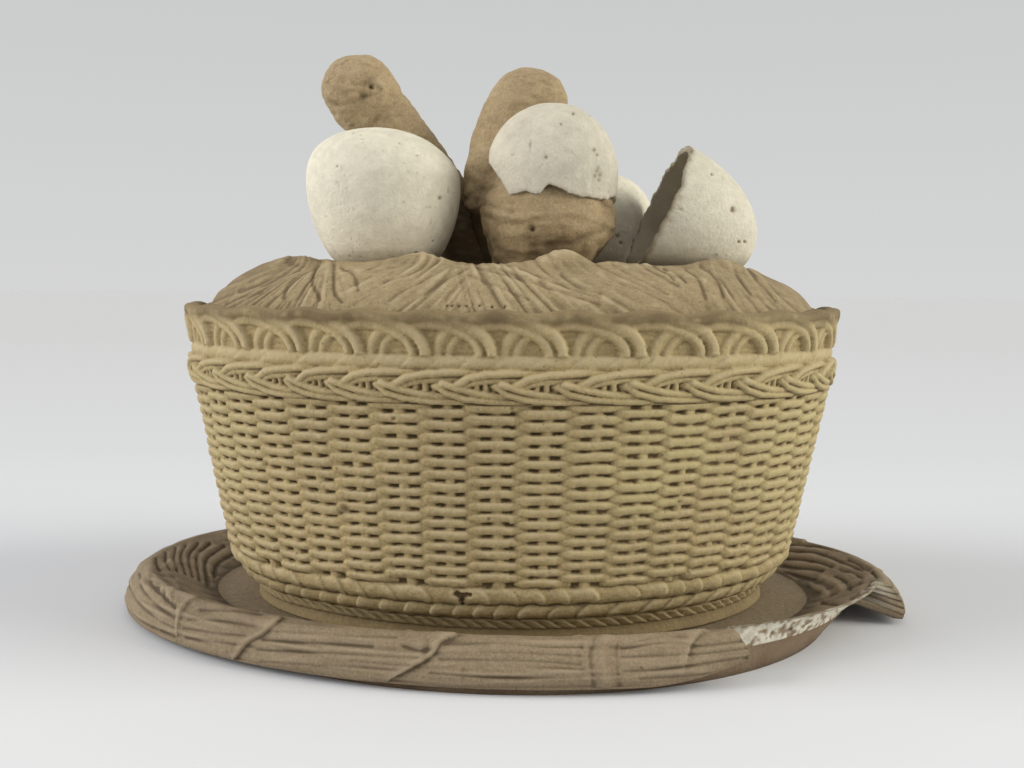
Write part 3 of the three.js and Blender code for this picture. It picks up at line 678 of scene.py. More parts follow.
# How many rings lie between each two levels
BASKET_RINGS = (
    (BASE + 0.4, FOOT_TOP, 8),
    (FOOT_TOP, ROPE_TOP, 13),
    (ROPE_TOP, WALE_MID, 17),
    (WALE_MID, WEAVE_LOW, 17),
    (WEAVE_LOW, WEAVE_TOP, STRANDS * 7),
    (WEAVE_TOP, PLAIT_TOP, 36),
    (PLAIT_TOP, ARCADE_LOW, 10),
)
# Ovals under the dish and of its plain inside
BASKET_UNDER = ((97.7, 71.8, 10.2), (98.7, 72.8, 9.6), (99.2, 73.3, 7.7), (105.0, 79.1, 7.7))
BASKET_INSIDE = (
    (128.5, 95.5, 121.0), (128.5, 95.5, 117.2), (128.0, 95.0, 116.7), (124.4, 91.4, 116.7),
    (124.0, 91.0, 116.2), (112.6, 83.2, 66.0), (101.8, 75.9, 18.0), (100.2, 74.3, 16.2),
)
# Painted highlights in patches on the weave: strength, middle and reach along, middle and reach up, in
# pixels
HIGHLIGHT_PATCHES = ((0.75, 655, 95, 470, 85), (0.45, 225, 45, 430, 110), (0.6, 790, 45, 440, 120))


def basket_relief(share, levels, place, flaws, holes):
    """Relief of the whole outer wall, band by band."""
    shape = place.shape[:2]
    shares, heights = np.broadcast_to(share, shape), np.broadcast_to(levels, shape)
    relief = np.zeros(shape)
    for low, high, form in BASKET_BANDS:
        rows = (levels[:, 0] >= low) & (levels[:, 0] < high)
        relief[rows] = form(shares[rows], heights[rows], place[rows])

    # The plait's loops reach a little over the weave below them and the strip above
    rows = (levels[:, 0] >= WEAVE_TOP - 2) & (levels[:, 0] < PLAIT_TOP + 1)
    relief[rows] = np.maximum(relief[rows], plait_bands(shares[rows], heights[rows], place[rows]))
    rows = levels[:, 0] >= ARCADE_LOW
    relief[rows] = blurred(relief, (1,))[rows]
    lip = 1.7 * dome(levels - LIP_MIDDLE, LIP_HALF) + 0.25 * noise(place, 8, 61)
    rows = levels[:, 0] > LIP_MIDDLE - LIP_HALF
    relief[rows] = np.maximum(relief[rows], lip[rows])
    uneven = 0.12 * noise(place, 5, 62) + 0.25 * noise(place, 30, 63) + 0.12 * noise(place, 1.5, 65)
    return relief + (uneven - 0.7 * flaws - 2.0 * holes)


def basket_hollow(share, levels, place, relief, holes):
    """How dark or pale each place of the wall is, from its relief and its band: dirt and
    painted shade in the hollows and pits, wear and painted highlight on the ridges, paler
    on the strip and the arcade, dark in the hole, and painted highlight along the strands'
    upper edges with painted shade under them.
    """
    hollow = hollows(relief, 0.85)
    edges = (PLAIT_TOP, PLAIT_TOP + 1, ARCADE_LOW, ARCADE_LOW + 1)
    zone = np.interp(levels, edges, (0.8, 0.62, 0.62, 0.36))
    strip = ease(PLAIT_TOP - 0.3, PLAIT_TOP + 0.3, levels)
    strip = strip * ease(ARCADE_LOW + 0.3, ARCADE_LOW - 0.3, levels)
    woven = (levels > WEAVE_LOW) & (levels < WEAVE_TOP)
    column = stake_place(np.broadcast_to(share, place.shape[:2]), place)
    zone = zone * (1 - 0.8 * woven * ease(0.35, 0.46, np.abs(column - np.round(column))))
    arcade = ease(ARCADE_LOW - 0.3, ARCADE_LOW + 0.3, levels)
    hollow = 0.5 - 0.26 * strip - 0.13 * arcade + (hollow - 0.5) * zone
    # Painted highlight along the upper edges of the strands and painted shade under them, from the
    # slope of the relief
    tilt = np.gradient(blurred(relief, (1,)), axis=0) / np.gradient(levels, axis=0)
    return np.clip(hollow + 1.2 * holes + 0.18 * np.clip(tilt, -1.2, 1.0), 0, 1)


def basket_brown(levels, z, place, relief, flaws):
    """Brown along the lip and at the flaws, and round the foot, where the brown is partly painted
    shade.
    """
    brown = ease(RIM_TOP - 7.5, RIM_TOP - 3.5, z + 0.8 * noise(place, 7, 64))
    brown = np.maximum(brown * ease(-0.4, 0.6, relief), ease(RIM_TOP - 4.6, RIM_TOP - 3.2, z))
    brown = (1.15 + 0.5 * noise(place, 2.6, 68)) * brown
    # Round the foot the brown is partly painted shade
    brown = np.maximum(brown, 0.8 * ease(ROPE_TOP + 1, FOOT_TOP - 1, levels))
    return np.maximum(brown, 1.5 * flaws)


def basket_highlights(px, py, place, relief, hollow):
    """Painted highlights in patches, on the strands and not between them."""
    highlight = 0
    for strength, x, along, y, up in HIGHLIGHT_PATCHES:
        highlight = highlight + strength * np.exp(-(((px - x) / along) ** 2) - ((py - y) / up) ** 2)
    highlight = (place[..., 1] < 0) * highlight * np.clip(0.7 + 0.7 * noise(place, 16, 66), 0, 1)
    return highlight * ease(0.62, 0.5, hollow) * ease(-0.2, 1.2, relief)


def lip_drop(share):
    """How far the lip dips between two arches."""
    return 1.3 * (1 - np.cos(TAU * arch_number(share))) / 2


# A ragged hole and small flaws in the basket wall: x, y and radius in the photograph's pixels
HOLE = (
    (456, 593, 2.2), (459, 594, 2.8), (463, 595, 3.2), (467, 594, 2.8), (471, 594, 2.0),
    (462, 599, 2.8), (463, 603, 2.0),
)
BLEMISHES = (
    (463, 597, 4.0), (458, 592, 2.4), (346, 508, 4.2), (342, 513, 2.2), (677, 501, 2.0),
    (731, 491, 2.2), (268, 464, 2.2), (275, 466, 1.6), (395, 418, 1.6), (238, 411, 1.8),
    (559, 434, 1.6), (512, 408, 1.4), (489, 518, 1.5),
)


def basket():
    share = np.arange(WALL_COLUMNS)[None, :] / WALL_COLUMNS
    angle = even_angles(ASPECT, share)
    rows = [np.linspace(low, high, count, endpoint=False) for low, high, count in BASKET_RINGS]
    levels = np.concatenate(rows + [np.linspace(ARCADE_LOW, RIM_TOP - LIP_ROLL, 44)])[:, None]
    drop = lip_drop(share)
    a, b = np.interp(levels, WALL_Z, WALL_A), np.interp(levels, WALL_Z, WALL_B)
    place = oval(angle, a, b, levels)
    px, py = seen_at(place)
    facing = place[..., 1] < 0

    # The lip dips between its arches, and the foot sags at the left of the front
    sag = 1.3 * np.exp(-(((px - FOOT_SAG_X) / FOOT_SAG_REACH) ** 2)) * facing
    z = levels - drop * ease(ARCADE_LOW + 4, RIM_TOP - LIP_ROLL, levels)
    z = z - sag * np.interp(levels, (BASE, FOOT_TOP, WEAVE_LOW, WEAVE_LOW + 16), (0, 1, 0.8, 0))
    flaws = spots(px, py, BLEMISHES) * facing
    holes = spots(px, py, HOLE) * facing
    holes = holes * ease(0.35, 0.6, holes + 0.15 * noise(place, 1.4, 67))
    relief = basket_relief(share, levels, place, flaws, holes)
    wall = oval(angle, a, b, z, relief)

    # Over the lip and down the plain inside
    out_edge = relief[-1:]
    in_edge = RIM_A - a[-1, 0] - RIM_THICKNESS
    turns = np.linspace(0, math.pi, 12)[1:, None]
    middle, half = (out_edge + in_edge) / 2, (out_edge - in_edge) / 2
    top = RIM_TOP - LIP_ROLL - drop + LIP_ROLL * np.sin(turns)
    over = oval(angle, a[-1, 0], b[-1, 0], top, middle + half * np.cos(turns))
    rings = np.concatenate([stacked(angle, BASKET_UNDER), wall, over, stacked(angle, BASKET_INSIDE)])

    hollow = basket_hollow(share, levels, place, relief, holes)
    fields = {
        "hollow": (0.5, hollow, 0.45, 0.45),
        "stain_and_shade": (0.4, basket_brown(levels, z, place, relief, flaws), 1.0, 0.1),
        # The pale field carries the painted highlights
        "pale": (0.0, basket_highlights(px, py, place, relief, hollow), 0.0, 0.0),
    }
    counts = (len(BASKET_UNDER), len(wall), len(over), len(BASKET_INSIDE))
    for name, parts in fields.items():
        rows = [np.zeros((count, WALL_COLUMNS)) + part for count, part in zip(counts, parts)]
        fields[name] = np.concatenate(rows)
    return ring_piece("basket_wall", rings, fields)


# Sizes of the stand, the cover and what it carries, as the frame has them
STAND_A, STAND_B, STAND_TURN = 152.7, 102.0, -4.2
CREST, SKIRT_LOW, SKIRT_SPREAD = 17.6, 2.5, 9.8
WELL_A, WELL_B, WELL = 124.0, 87.0, 7.4
BREAK_START, BREAK_END = math.radians(33), math.radians(80)
STAND_COLUMNS, COVER_COLUMNS, LINER_COLUMNS = 1500, 1100, 360
COVER_A, COVER_B, COVER_SEAT = 124.9, 91.9, 121.3
COVER_TOP = 143.4
ORNAMENT_BASE = 143.1
EGG_COLUMNS, EGG_ROWS, SHELL_COLUMNS, SHELL_ROWS = 420, 230, 480, 110


def stand_straws(share, v, place):
    """Bundles of straw along the rim, each lapping the next."""
    turn = share * 14 + 0.5 * v + 0.12 * noise(place, 60, 71)
    number = np.floor(turn)
    part = turn - number
    vary = chance(number + 900, 72)
    spread = chance(number + 40, 73) - 0.5
    row = 5.4 * v + 0.9 * (vary - 0.5) + 0.7 * part * spread + 0.3 * noise(place, 34, 74)
    straw = 1 - 1.5 * np.exp(-((row - np.round(row)) / 0.13) ** 2)
    return 0.34 * straw + 0.5 * ease(0.06, 0.0, part) - 0.3 * part


# Straw ends, grooves and overlaps on the stand's front, in the photograph's pixels
SKIRT_STEPS = (
    (1.5, 16, ((458, 633, 440, 642, 430, 656, 400, 674),)),
    (1.3, 14, ((276, 622, 262, 634, 248, 642, 237, 656),)),
    (0.9, 12, ((724, 626, 704, 631, 692, 643, 689, 652),)),
    (1.0, 10, ((222, 597, 195, 598, 184, 606, 179, 618, 177, 634),)),
)
SKIRT_GROOVES = (
    (-0.6, 1.7, (
        (200, 609, 240, 611, 262, 614), (188, 619, 225, 621, 255, 626), (184, 628, 215, 633, 245, 636),
        (186, 638, 210, 641, 236, 645), (262, 640, 320, 643, 372, 646), (256, 650, 330, 653, 418, 658),
        (622, 648, 660, 643, 700, 645, 748, 640), (622, 657, 680, 655, 748, 648),
        (624, 671, 660, 670, 700, 664, 752, 657),
    )),
    (-0.55, 1.7, ((276, 631, 320, 634, 360, 636, 396, 637), (445, 644, 500, 643, 540, 646, 582, 646),)),
    (-0.5, 1.7, ((262, 662, 330, 666, 396, 670), (480, 651, 540, 653, 580, 655),)),
    (-0.5, 1.5, ((350, 661, 385, 664, 416, 666),)),
    (-0.7, 2.2, ((404, 646, 418, 650, 432, 649),)),
    (-0.9, 4.5, ((428, 645, 424, 658),)),
    (-0.55, 1.8, ((440, 659, 500, 660, 540, 661, 580, 664),)),
    (-0.5, 1.6, (
        (450, 666, 510, 667, 560, 668, 585, 670), (396, 685, 460, 687, 540, 688, 590, 687),
        (640, 640, 665, 636, 686, 637), (640, 679, 700, 675, 736, 668),
    )),
    (-0.6, 1.8, ((430, 673, 480, 677, 530, 678, 580, 678),)),
    (-0.45, 3.0, ((594, 640, 590, 655, 592, 672, 594, 688),)),
    (0.7, 6.0, ((606, 640, 603, 655, 604, 672, 606, 690),)),
    (-0.35, 2.6, ((618, 640, 617, 655, 618, 672, 620, 688),)),
    (-0.2, 2.6, ((583, 640, 582, 660, 583, 682),)),
)
END_GROOVES = (
    (-0.7, 1.8, (
        (178, 630, 155, 618, 138, 602, 127, 584), (176, 620, 158, 606, 143, 590, 139, 574),
        (178, 610, 165, 598, 153, 586, 150, 576),
    )),
    (-0.7, 1.6, (
        (174, 636, 150, 627, 128, 610, 121, 596), (205, 645, 180, 640, 160, 632),
        (150, 572, 180, 578, 205, 585, 232, 602), (158, 568, 190, 574, 215, 586),
    )),
    (-0.6, 1.6, ((168, 600, 160, 592, 158, 583), (182, 588, 200, 598, 222, 600),)),
    (0.9, 1.8, (
        (162, 597, 161, 590, 165, 588, 168, 592, 166, 597),
        (170, 599, 170, 591, 175, 589, 178, 594, 176, 600),
    )),
    (0.9, 2.0, (
        (190, 586, 196, 583, 201, 586, 199, 591), (203, 592, 208, 589, 213, 593, 210, 598),
        (214, 596, 220, 594, 226, 598),
    )),
    (0.8, 2.0, ((165, 565, 170, 561, 176, 566), (180, 568, 186, 565, 190, 571),)),
)
SLOPE_GROOVES = (
    (-1.0, 1.6, ((176, 548, 174, 560, 178, 572), (186, 545, 181, 556, 186, 574),)),
    (-1.1, 1.8, ((198, 543, 189, 556, 193, 576), (210, 543, 197, 556, 200, 580),)),
    (-1.2, 2.0, (
        (224, 546, 206, 560, 208, 584), (236, 552, 216, 566, 218, 590), (784, 574, 802, 577, 814, 580),
    )),
    (-0.9, 1.5, ((166, 552, 166, 562, 170, 568), (156, 558, 157, 565, 160, 570),)),
    (-1.2, 1.8, (
        (786, 550, 815, 552, 840, 561, 862, 570), (786, 558, 810, 560, 832, 566),
        (786, 544, 820, 546, 856, 555),
    )),
    (-1.3, 2.0, ((782, 566, 806, 568, 822, 570),)),
    (-0.9, 1.6, (
        (840, 570, 852, 572, 862, 578), (850, 598, 864, 590, 872, 582), (862, 600, 876, 592, 882, 584),
        (836, 577, 846, 582, 850, 590),
    )),
    (-1.0, 1.7, ((826, 596, 846, 588, 860, 582),)),
    (-0.8, 1.5, (
        (876, 601, 886, 594, 889, 584), (848, 560, 862, 566, 876, 576), (868, 566, 880, 576, 888, 588),
    )),
    (-0.9, 1.7, ((822, 603, 840, 605, 858, 606),)),
    (1.0, 3.0, ((822, 578, 834, 582, 840, 588), (812, 586, 822, 590, 826, 594),)),
    (-0.7, 1.5, ((884, 586, 892, 596, 894, 604),)),
)


# Redder patches and two dark spots on the stand's front, in the photograph's pixels
RUSTY = (
    (246, 620, 14), (238, 645, 11), (225, 655, 9), (602, 668, 12), (606, 650, 8),
    (690, 684, 10), (728, 660, 9), (640, 686, 9),
)
STAND_SPOTS = ((463, 670, 2.2), (463, 678, 1.6))
# Columns of pixels between which the skirt is drawn, and from which its lower edge is worn
SKIRT_LEFT, SKIRT_RIGHT, SKIRT_WORN = 176, 760, 640
# The left end is drawn left of the first column, and the slopes outside the other two
END_RIGHT, SLOPE_LEFT, SLOPE_RIGHT = 240, 245, 780
# Ovals of the foot ring and the skirt's hollow inside, each its half length, half width and height
STAND_FOOT = (
    (118.0, 97.0, 3.0), (126.0, 105.0, 2.9), (126.3, 105.3, 0.0), (131.0, 110.0, 0.0),
    (133.3, 108.8, 2.6), (139.0, 106.5, 8.4), (151.5, 107.5, 12.0), (154.5, 108.2, 8.0),
    (157.3, 109.2, 3.2), (159.0, 110.2, 2.6),
)
# The fracture starts at this ring under the skirt; its ovals grow from the low to the high one
BREAK_RING = 6
BREAK_LOW, BREAK_HIGH = (139.2, 105.7), (151.0, 100.4)


def stand_sections(skirt, slope):
    """Ovals of the stand from its foot ring out, over the skirt's crest and into the well."""
    rise = np.interp(slope, (0, 0.24, 0.58, 0.86, 1), (1, 0.82, 0.42, 0.12, 0))
    out = (SKIRT_SPREAD - 0.1) * np.sqrt(1 - skirt**2) + np.sin(math.pi * (1 - skirt) ** 2)
    sections = list(STAND_FOOT)
    sections += zip(STAND_A + out, STAND_B + out, SKIRT_LOW + (CREST - SKIRT_LOW) * skirt)
    inner_a, inner_b = STAND_A + (WELL_A - STAND_A) * slope, STAND_B + (WELL_B - STAND_B) * slope
    sections += zip(inner_a, inner_b, WELL + (CREST - WELL) * rise)
    return sections + [(WELL_A * k, WELL_B * k, WELL) for k in np.linspace(0.97, 0.03, 24)]


def stand_relief(share, v, place, px, py):
    """Straws drawn after the photograph where it shows them, and bundles of straw elsewhere.
    v runs from 0 at the skirt's lower edge to 1 at its crest and 2 at the well."""
    front = (place[..., 1] < 20) & (v <= 1.05)
    drawn = front & (place[..., 1] < -15) & ((px > SKIRT_LEFT) & (px < SKIRT_RIGHT))
    relief = stand_straws(share + 0 * v, v, place)
    flutes = 0.55 * np.abs(np.sin(math.pi * (share * 64 + 0.35 * v + 0.2 * noise(place, 24, 76)))) - 0.3
    relief = relief + (flutes - relief) * ease(1.04, 1.16, v)
    streaks = 0.22 * noise(place * (0.25, 1, 1), 5, 78) + 0.4 * noise(place * (0.06, 0.06, 1), 1.1, 80)
    streaks += 0.3 * noise(place * (0.05, 0.05, 1), 1.9, 70)
    skirt = streaks + 0.75 * strokes(px, py, SKIRT_GROOVES) + steps(px, py, SKIRT_STEPS)
    relief = np.where(drawn, skirt, relief)
    left = (px < END_RIGHT) & (place[..., 1] < 45) & (v < 1.35)
    relief = np.where(left & ~drawn, streaks + 0.8 * strokes(px, py, END_GROOVES), relief)
    back = (v > 1) & (place[..., 1] > -60) & ((px < SLOPE_LEFT) | (px > SLOPE_RIGHT))
    relief = np.where(back & (v < 1.9), 0.8 * relief + 0.75 * strokes(px, py, SLOPE_GROOVES), relief)
    return relief * ease(2.0, 1.9, v) * ease(0.0, 0.06, v) + 0.1 * noise(place, 7, 77)


def stand():
    share = np.arange(STAND_COLUMNS)[None, :] / STAND_COLUMNS
    angle = even_angles(STAND_B / STAND_A, share)
    skirt = np.linspace(0, 0.985, 42)
    slope = np.linspace(0, 1, 34)
    first = len(STAND_FOOT)
    last = first + len(skirt)
    sizes = np.array(stand_sections(skirt, slope))[:, :, None]
    ring_a, ring_b, z = (sizes[:, k] + 0 * angle for k in range(3))

    # Where the piece is broken away the skirt's rings lie up the fracture instead
    cut = (angle > BREAK_START) & (angle < BREAK_END)
    climb = np.linspace(0, 1, last - BREAK_RING)[:, None]
    ragged = noise(joined(angle * 120, climb * 9, 0.0), 3.2, 75)
    broken = [low + climb * (high - low) for low, high in zip(BREAK_LOW, BREAK_HIGH)]
    broken.append(np.interp(climb, (0, 0.25, 0.6, 1), (8.6, 12.6, 14.4, 17.4)))
    rows = slice(BREAK_RING, last)
    for ring, level in zip((ring_a, ring_b, z), broken):
        ring[rows] = np.where(cut, level + 0 * angle, ring[rows])
    place = turned(oval(angle, ring_a, ring_b, z), STAND_TURN)

    # Towards the break the skirt's lower edge is worn away
    px, py = seen_at(place)
    near = (place[..., 1] < 0) & ~cut & (px < SKIRT_RIGHT)
    worn = 7.5 * np.clip((px - SKIRT_WORN) / 112, 0, 1) ** 2 * near
    worn[:BREAK_RING + 1] = 0
    worn[last:] = 0
    place[..., 2] += worn * np.clip((CREST - place[..., 2]) / (CREST - SKIRT_LOW), 0, 1)
    px, py = seen_at(place)
    v = np.full(place.shape[:2], 2.0)
    v[:first] = 0
    v[first:last] = skirt[:, None]
    v[last:last + len(slope)] = 1 + slope[:, None]
    relief = stand_relief(share, v, place, px, py)
    rough = np.where(cut, ragged * ease(0.05, 0.2, climb) * ease(1.0, 0.9, climb), 0)
    relief[rows] = np.where(cut, rough, relief[rows])
    relief = np.where(z < 2.0, 0, relief)
    fracture = np.zeros(v.shape)
    fracture[rows] = cut & (climb > 0.06)

    front = (place[..., 1] < 20) & (v <= 1.05)
    place = displaced(place, np.clip(relief, -2.4, 0.6))
    place[..., 2] = np.maximum(place[..., 2], 0)
    # Dirt and painted shade in the grooves, and painted shade down the inner slope towards the well,
    # under the dish
    hollow = hollows(relief, 0.58) + 0.42 * ease(1.55, 2.0, v) * (v < 2)
    # Darker towards the skirt's lower edge, and the two dark spots
    stain_and_shade = 0.35 * ease(0.25, 0.0, v) * (v > 0) + spots(px, py, STAND_SPOTS) * front
    rust = 0.55 * spots(px, py, RUSTY) * front * np.clip(0.7 + noise(place, 3, 69), 0, 1)
    stain_and_shade = np.maximum(stain_and_shade, rust)
    # The foot ring and the underside painted dark, as the shadow where the stand meets the floor
    stain_and_shade[:first] = np.maximum(stain_and_shade[:first], 0.9)
    pale = fracture * ease(-0.5, 0.2, noise(place, 1.4, 79))
    fields = {"hollow": np.clip(hollow, 0, 1), "stain_and_shade": np.clip(stain_and_shade, 0, 1), "pale": pale}
    return ring_piece("straw_stand", place, fields)


# Ovals of the cover's inside and of its locating ring and seat
COVER_INSIDE = (
    (1.0, 1.0, 137.4), (60, 40, 137.2), (72, 40, 136.0), (100, 68, 126.0), (110.0, 77.5, 120.0),
    (110.6, 78.0, 115.6),
)
COVER_SEAT_RINGS = (
    (111.6, 78.6, 115.3), (114.8, 81.8, 115.3), (115.6, 82.6, 121.0), (124.0, 91.0, 121.3),
)
# Straws and leaves on the front of the cover, in the photograph's pixels
COVER_GROOVES = (
    (-0.9, 2.0, (
        (322, 263, 300, 266, 270, 266, 246, 270), (318, 266, 290, 272, 262, 284, 240, 291),
        (316, 268, 312, 282, 318, 294, 320, 300), (334, 264, 334, 280, 334, 292, 342, 302),
    )),
    (-1.0, 2.0, ((318, 266, 300, 276, 288, 286, 284, 298),)),
    (-0.9, 2.2, ((342, 268, 354, 276, 358, 290),)),
    (-0.6, 1.6, (
        (300, 270, 276, 280, 258, 292), (262, 268, 240, 276, 226, 286), (716, 268, 736, 278, 750, 294),
        (736, 266, 760, 282, 776, 300),
    )),
    (-0.5, 1.6, (
        (262, 292, 240, 298, 226, 304), (430, 258, 400, 266, 376, 272), (440, 262, 410, 274, 384, 282),
        (452, 266, 424, 280, 400, 292, 390, 300), (470, 268, 444, 280, 424, 294),
        (490, 268, 520, 276, 545, 284), (470, 276, 500, 288, 528, 300), (620, 282, 650, 294, 670, 303),
    )),
    (-0.5, 1.5, ((420, 258, 390, 264, 368, 270),)),
    (-0.7, 1.8, ((478, 268, 500, 274, 520, 280),)),
    (-0.6, 1.7, (
        (520, 270, 560, 284, 600, 297), (500, 270, 530, 282, 575, 296, 600, 304),
        (590, 262, 625, 278, 650, 290, 672, 300), (612, 266, 640, 280, 668, 294),
    )),
    (-0.8, 2.2, ((562, 274, 576, 284, 600, 293),)),
    (-0.8, 1.8, ((640, 266, 660, 276, 678, 286),)),
    (-0.8, 1.6, (
        (654, 266, 668, 274, 674, 280), (664, 268, 680, 276, 686, 282), (686, 270, 700, 282, 706, 298),
        (700, 268, 716, 278, 724, 296),
    )),
    (0.9, 3.0, ((600, 262, 630, 268, 646, 266),)),
    (0.9, 3.2, ((670, 272, 690, 276, 704, 282),)),
    (0.7, 3.0, ((500, 268, 524, 276, 536, 280),)),
    (0.8, 3.6, ((296, 258, 270, 258, 256, 264),)),
)
PINHOLES = (
    (447, 306, 1.0), (452, 306, 1.0), (459, 306, 1.0), (466, 306, 1.0), (480, 306, 1.0),
    (492, 307, 1.0), (505, 307, 1.0), (514, 241, 1.0),
)
# The colour darkens at both ends, growing outwards between these columns of pixels
DARKER_LEFT, DARKER_RIGHT = (350, 250), (640, 740)
# Mounds and a dip in the straw, in millimetres: x, y, reach and height
MOUNDS = (
    (-90, -18, 15, 3.9), (-110, -20, 12, 1.2), (-36, -41, 11, 4.0), (-13, -50, 9, -1.8),
    (19, -50, 8.5, 5.2), (14, -58, 7, 1.6), (82, -29, 12, 3.4), (90, -8, 12, 2.0),
)
# Where straws spread from, and the middle and reach of their part of the front, in pixels
COVER_FANS = (
    (330, 250, 265, 50), (530, 200, 405, 45), (440, 195, 525, 45), (420, 170, 645, 50),
    (660, 190, 765, 40),
)


def fan_straws(px, py):
    """Straws that spread in fans over the cover's front."""
    total, weight = np.zeros(px.shape), np.full(px.shape, 1e-6)
    for number, (x, y, middle, reach) in enumerate(COVER_FANS):
        far = np.hypot(px - x, py - y)
        turn = np.arctan2(py - y, px - x)
        share = np.exp(-(((px - middle) / reach) ** 2))
        lines = 0.55 * noise(joined(turn * 20, far / 70, 0), 1, 301 + number)
        lines += 0.9 * noise(joined(turn * 46, far / 40, 0), 1, 311 + number)
        total += share * lines
        weight += share
    return total / weight


def cover_sections():
    """Ovals of the cover from its locating ring out, up its edge and over its shoulder."""
    edge_a, edge_b, shoulder = COVER_A - 0.4, COVER_B - 0.4, 42
    edge_top, rise = COVER_SEAT + 3.0, COVER_TOP - COVER_SEAT - 3.3
    sections = list(COVER_SEAT_RINGS)
    sections += [(edge_a, edge_b, level) for level in np.linspace(121.6, 123.9, 5)]
    for turn in np.linspace(0, math.pi / 2, 84):
        inward = shoulder * (1 - math.cos(turn))
        level = edge_top + rise * math.sin(turn) ** 1.4
        sections.append((edge_a - inward, edge_b - inward, level))
    return sections + [(82.5 * k, 49.5 * k, COVER_TOP - 0.3) for k in np.linspace(0.96, 0.04, 26)]


def cover():
    share = np.arange(COVER_COLUMNS)[None, :] / COVER_COLUMNS
    angle = even_angles(ASPECT, share)
    place = stacked(angle, cover_sections())
    px, py = seen_at(place)
    start = len(COVER_SEAT_RINGS)
    slope = np.zeros(place.shape[:2])
    slope[start:] = np.linspace(0, 1, len(place) - start)[:, None]
    lean = 46 * noise(joined(np.cos(angle), np.sin(angle), 0) + 5, 0.9, 81)
    turn = share * 150 + slope * lean * 0.35 + 0.5 * noise(place, 20, 82)
    straw = np.abs(np.sin(math.pi * turn)) ** 0.6
    relief = 0.42 * straw - 0.3 + 0.5 * noise(place, 24, 83) + 0.22 * noise(place, 6, 84)

    # The front's straws follow the photograph
    front = ease(10, -25, place[..., 1])
    across = 0.6 * fan_straws(px, py) + 0.4 * noise(place, 16, 86) + 0.16 * noise(place, 4, 87)
    drawn = 0.75 * strokes(px, py, COVER_GROOVES) * (front > 0.3)
    relief = relief + (across - relief) * 0.85 * front + drawn
    for x, y, reach, height in MOUNDS:
        far = np.hypot(place[..., 0] - x, place[..., 1] - y)
        relief += height * np.exp(-((far / reach) ** 2))
    pits = spots(px, py, PINHOLES) * (front > 0.3)
    relief = (relief - 1.2 * pits) * ease(0.0, 0.04, slope)
    wall = displaced(place, np.clip(relief, -1.6, 6))
    wall[..., 2] = np.minimum(wall[..., 2], 152)
    wall[..., 0] = np.clip(wall[..., 0], -125.5, 125.5)

    darker_ends = (0.2 * ease(*DARKER_LEFT, px) + 0.1 * ease(*DARKER_RIGHT, px)) * (place[..., 1] < 20)
    grit = 0.1 * noise(place, 1.6, 88) + 0.07 * noise(place, 4, 89)
    # Dirt and painted shade in the grooves, darker towards both ends, and a random grit
    hollow = np.clip(hollows(relief, 0.5) + darker_ends + grit, 0, 1)
    stain_and_shade = np.clip(pits * 1.6, 0, 1)
    inside = np.ones((len(COVER_INSIDE), COVER_COLUMNS))
    rings = np.concatenate([stacked(angle, COVER_INSIDE), wall])
    fields = {
        "hollow": np.concatenate([0.5 * inside, hollow]),
        "stain_and_shade": np.concatenate([0.2 * inside, stain_and_shade]),
    }
    return ring_piece("straw_cover", rings, fields)


def liner():
    angle = even_angles(ASPECT, np.arange(LINER_COLUMNS)[None, :] / LINER_COLUMNS)
    sections = [(90, 62, 19.6), (95.0, 67.0, 19.4), (96.0, 68.0, 20.4)]
    for k in np.linspace(0.05, 0.985, 24):
        sections.append((96.0 + 27.0 * k, 68.0 + 22.0 * k, 20.4 + 96.4 * k**0.9))
    sections += [(123.1, 90.2, 116.9), (126.4, 93.4, 117.2), (127.2, 94.2, 118.2), (127.2, 94.2, 120.0)]
    sections += [(126.4, 93.4, 120.8), (122.6, 89.6, 120.9), (119.6, 86.6, 120.6), (118.7, 85.7, 119.6)]
    for k in np.linspace(0.03, 0.96, 24):
        sections.append((118.6 - 26.6 * k, 85.6 - 21.6 * k, 119.4 - 96.0 * k))
    sections += [(90.5, 62.5, 23.4), (84, 57, 23.2), (40, 27, 23.3)]
    place = stacked(angle, sections)
    place = place + 0.12 * noise(place, 22, 91)[..., None] * (1, 1, 0)
    specks = 0.3 * (noise(place, 14, 92) > 0.55)
    return ring_piece("glazed_liner", place, {"hollow": 0.5, "stain_and_shade": specks})


# Eggs and shells: columns round their own axis, from the front towards +X
def round_form(radius, height, columns):
    turn = np.arange(columns)[None, :] * TAU / columns
    return joined(radius * np.sin(turn), -radius * np.cos(turn), height)


def tipped(points, lean, x, y, z):
    """Leant over along the oval by degrees about +Y, then moved to its place."""
    c, s = math.cos(math.radians(lean)), math.sin(math.radians(lean))
    along, across, up = (points[..., k] for k in range(3))
    return joined(along * c + up * s + x, across + y, up * c - along * s + z)


def moulded(name, place, relief, limits, stain_and_shade):
    """An egg or a shell with its fine relief, darker in its small pits as dirt and painted shade."""
    rings = displaced(place, np.clip(relief, *limits))
    return ring_piece(name, rings, {"hollow": hollows(relief, 0.8), "stain_and_shade": np.clip(stain_and_shade, 0, 1)})


def egg_radius(height, radius, above, below, top_power=2.1, low_power=2.4):
    part = np.clip(np.abs(height) / np.where(height > 0, above, below), 0, 1)
    power = np.where(height > 0, top_power, low_power)
    return radius * (1 - part**power) ** (1 / power)


def egg_finish(place, seed):
    """Fine relief of a moulded egg: slight waves, a sandy skin and a few small pits."""
    pits = np.maximum(noise(place, 2.2, seed + 3) - 0.72, 0)
    return 0.22 * noise(place, 13, seed) + 0.05 * noise(place, 2.0, seed + 1) - 1.6 * pits


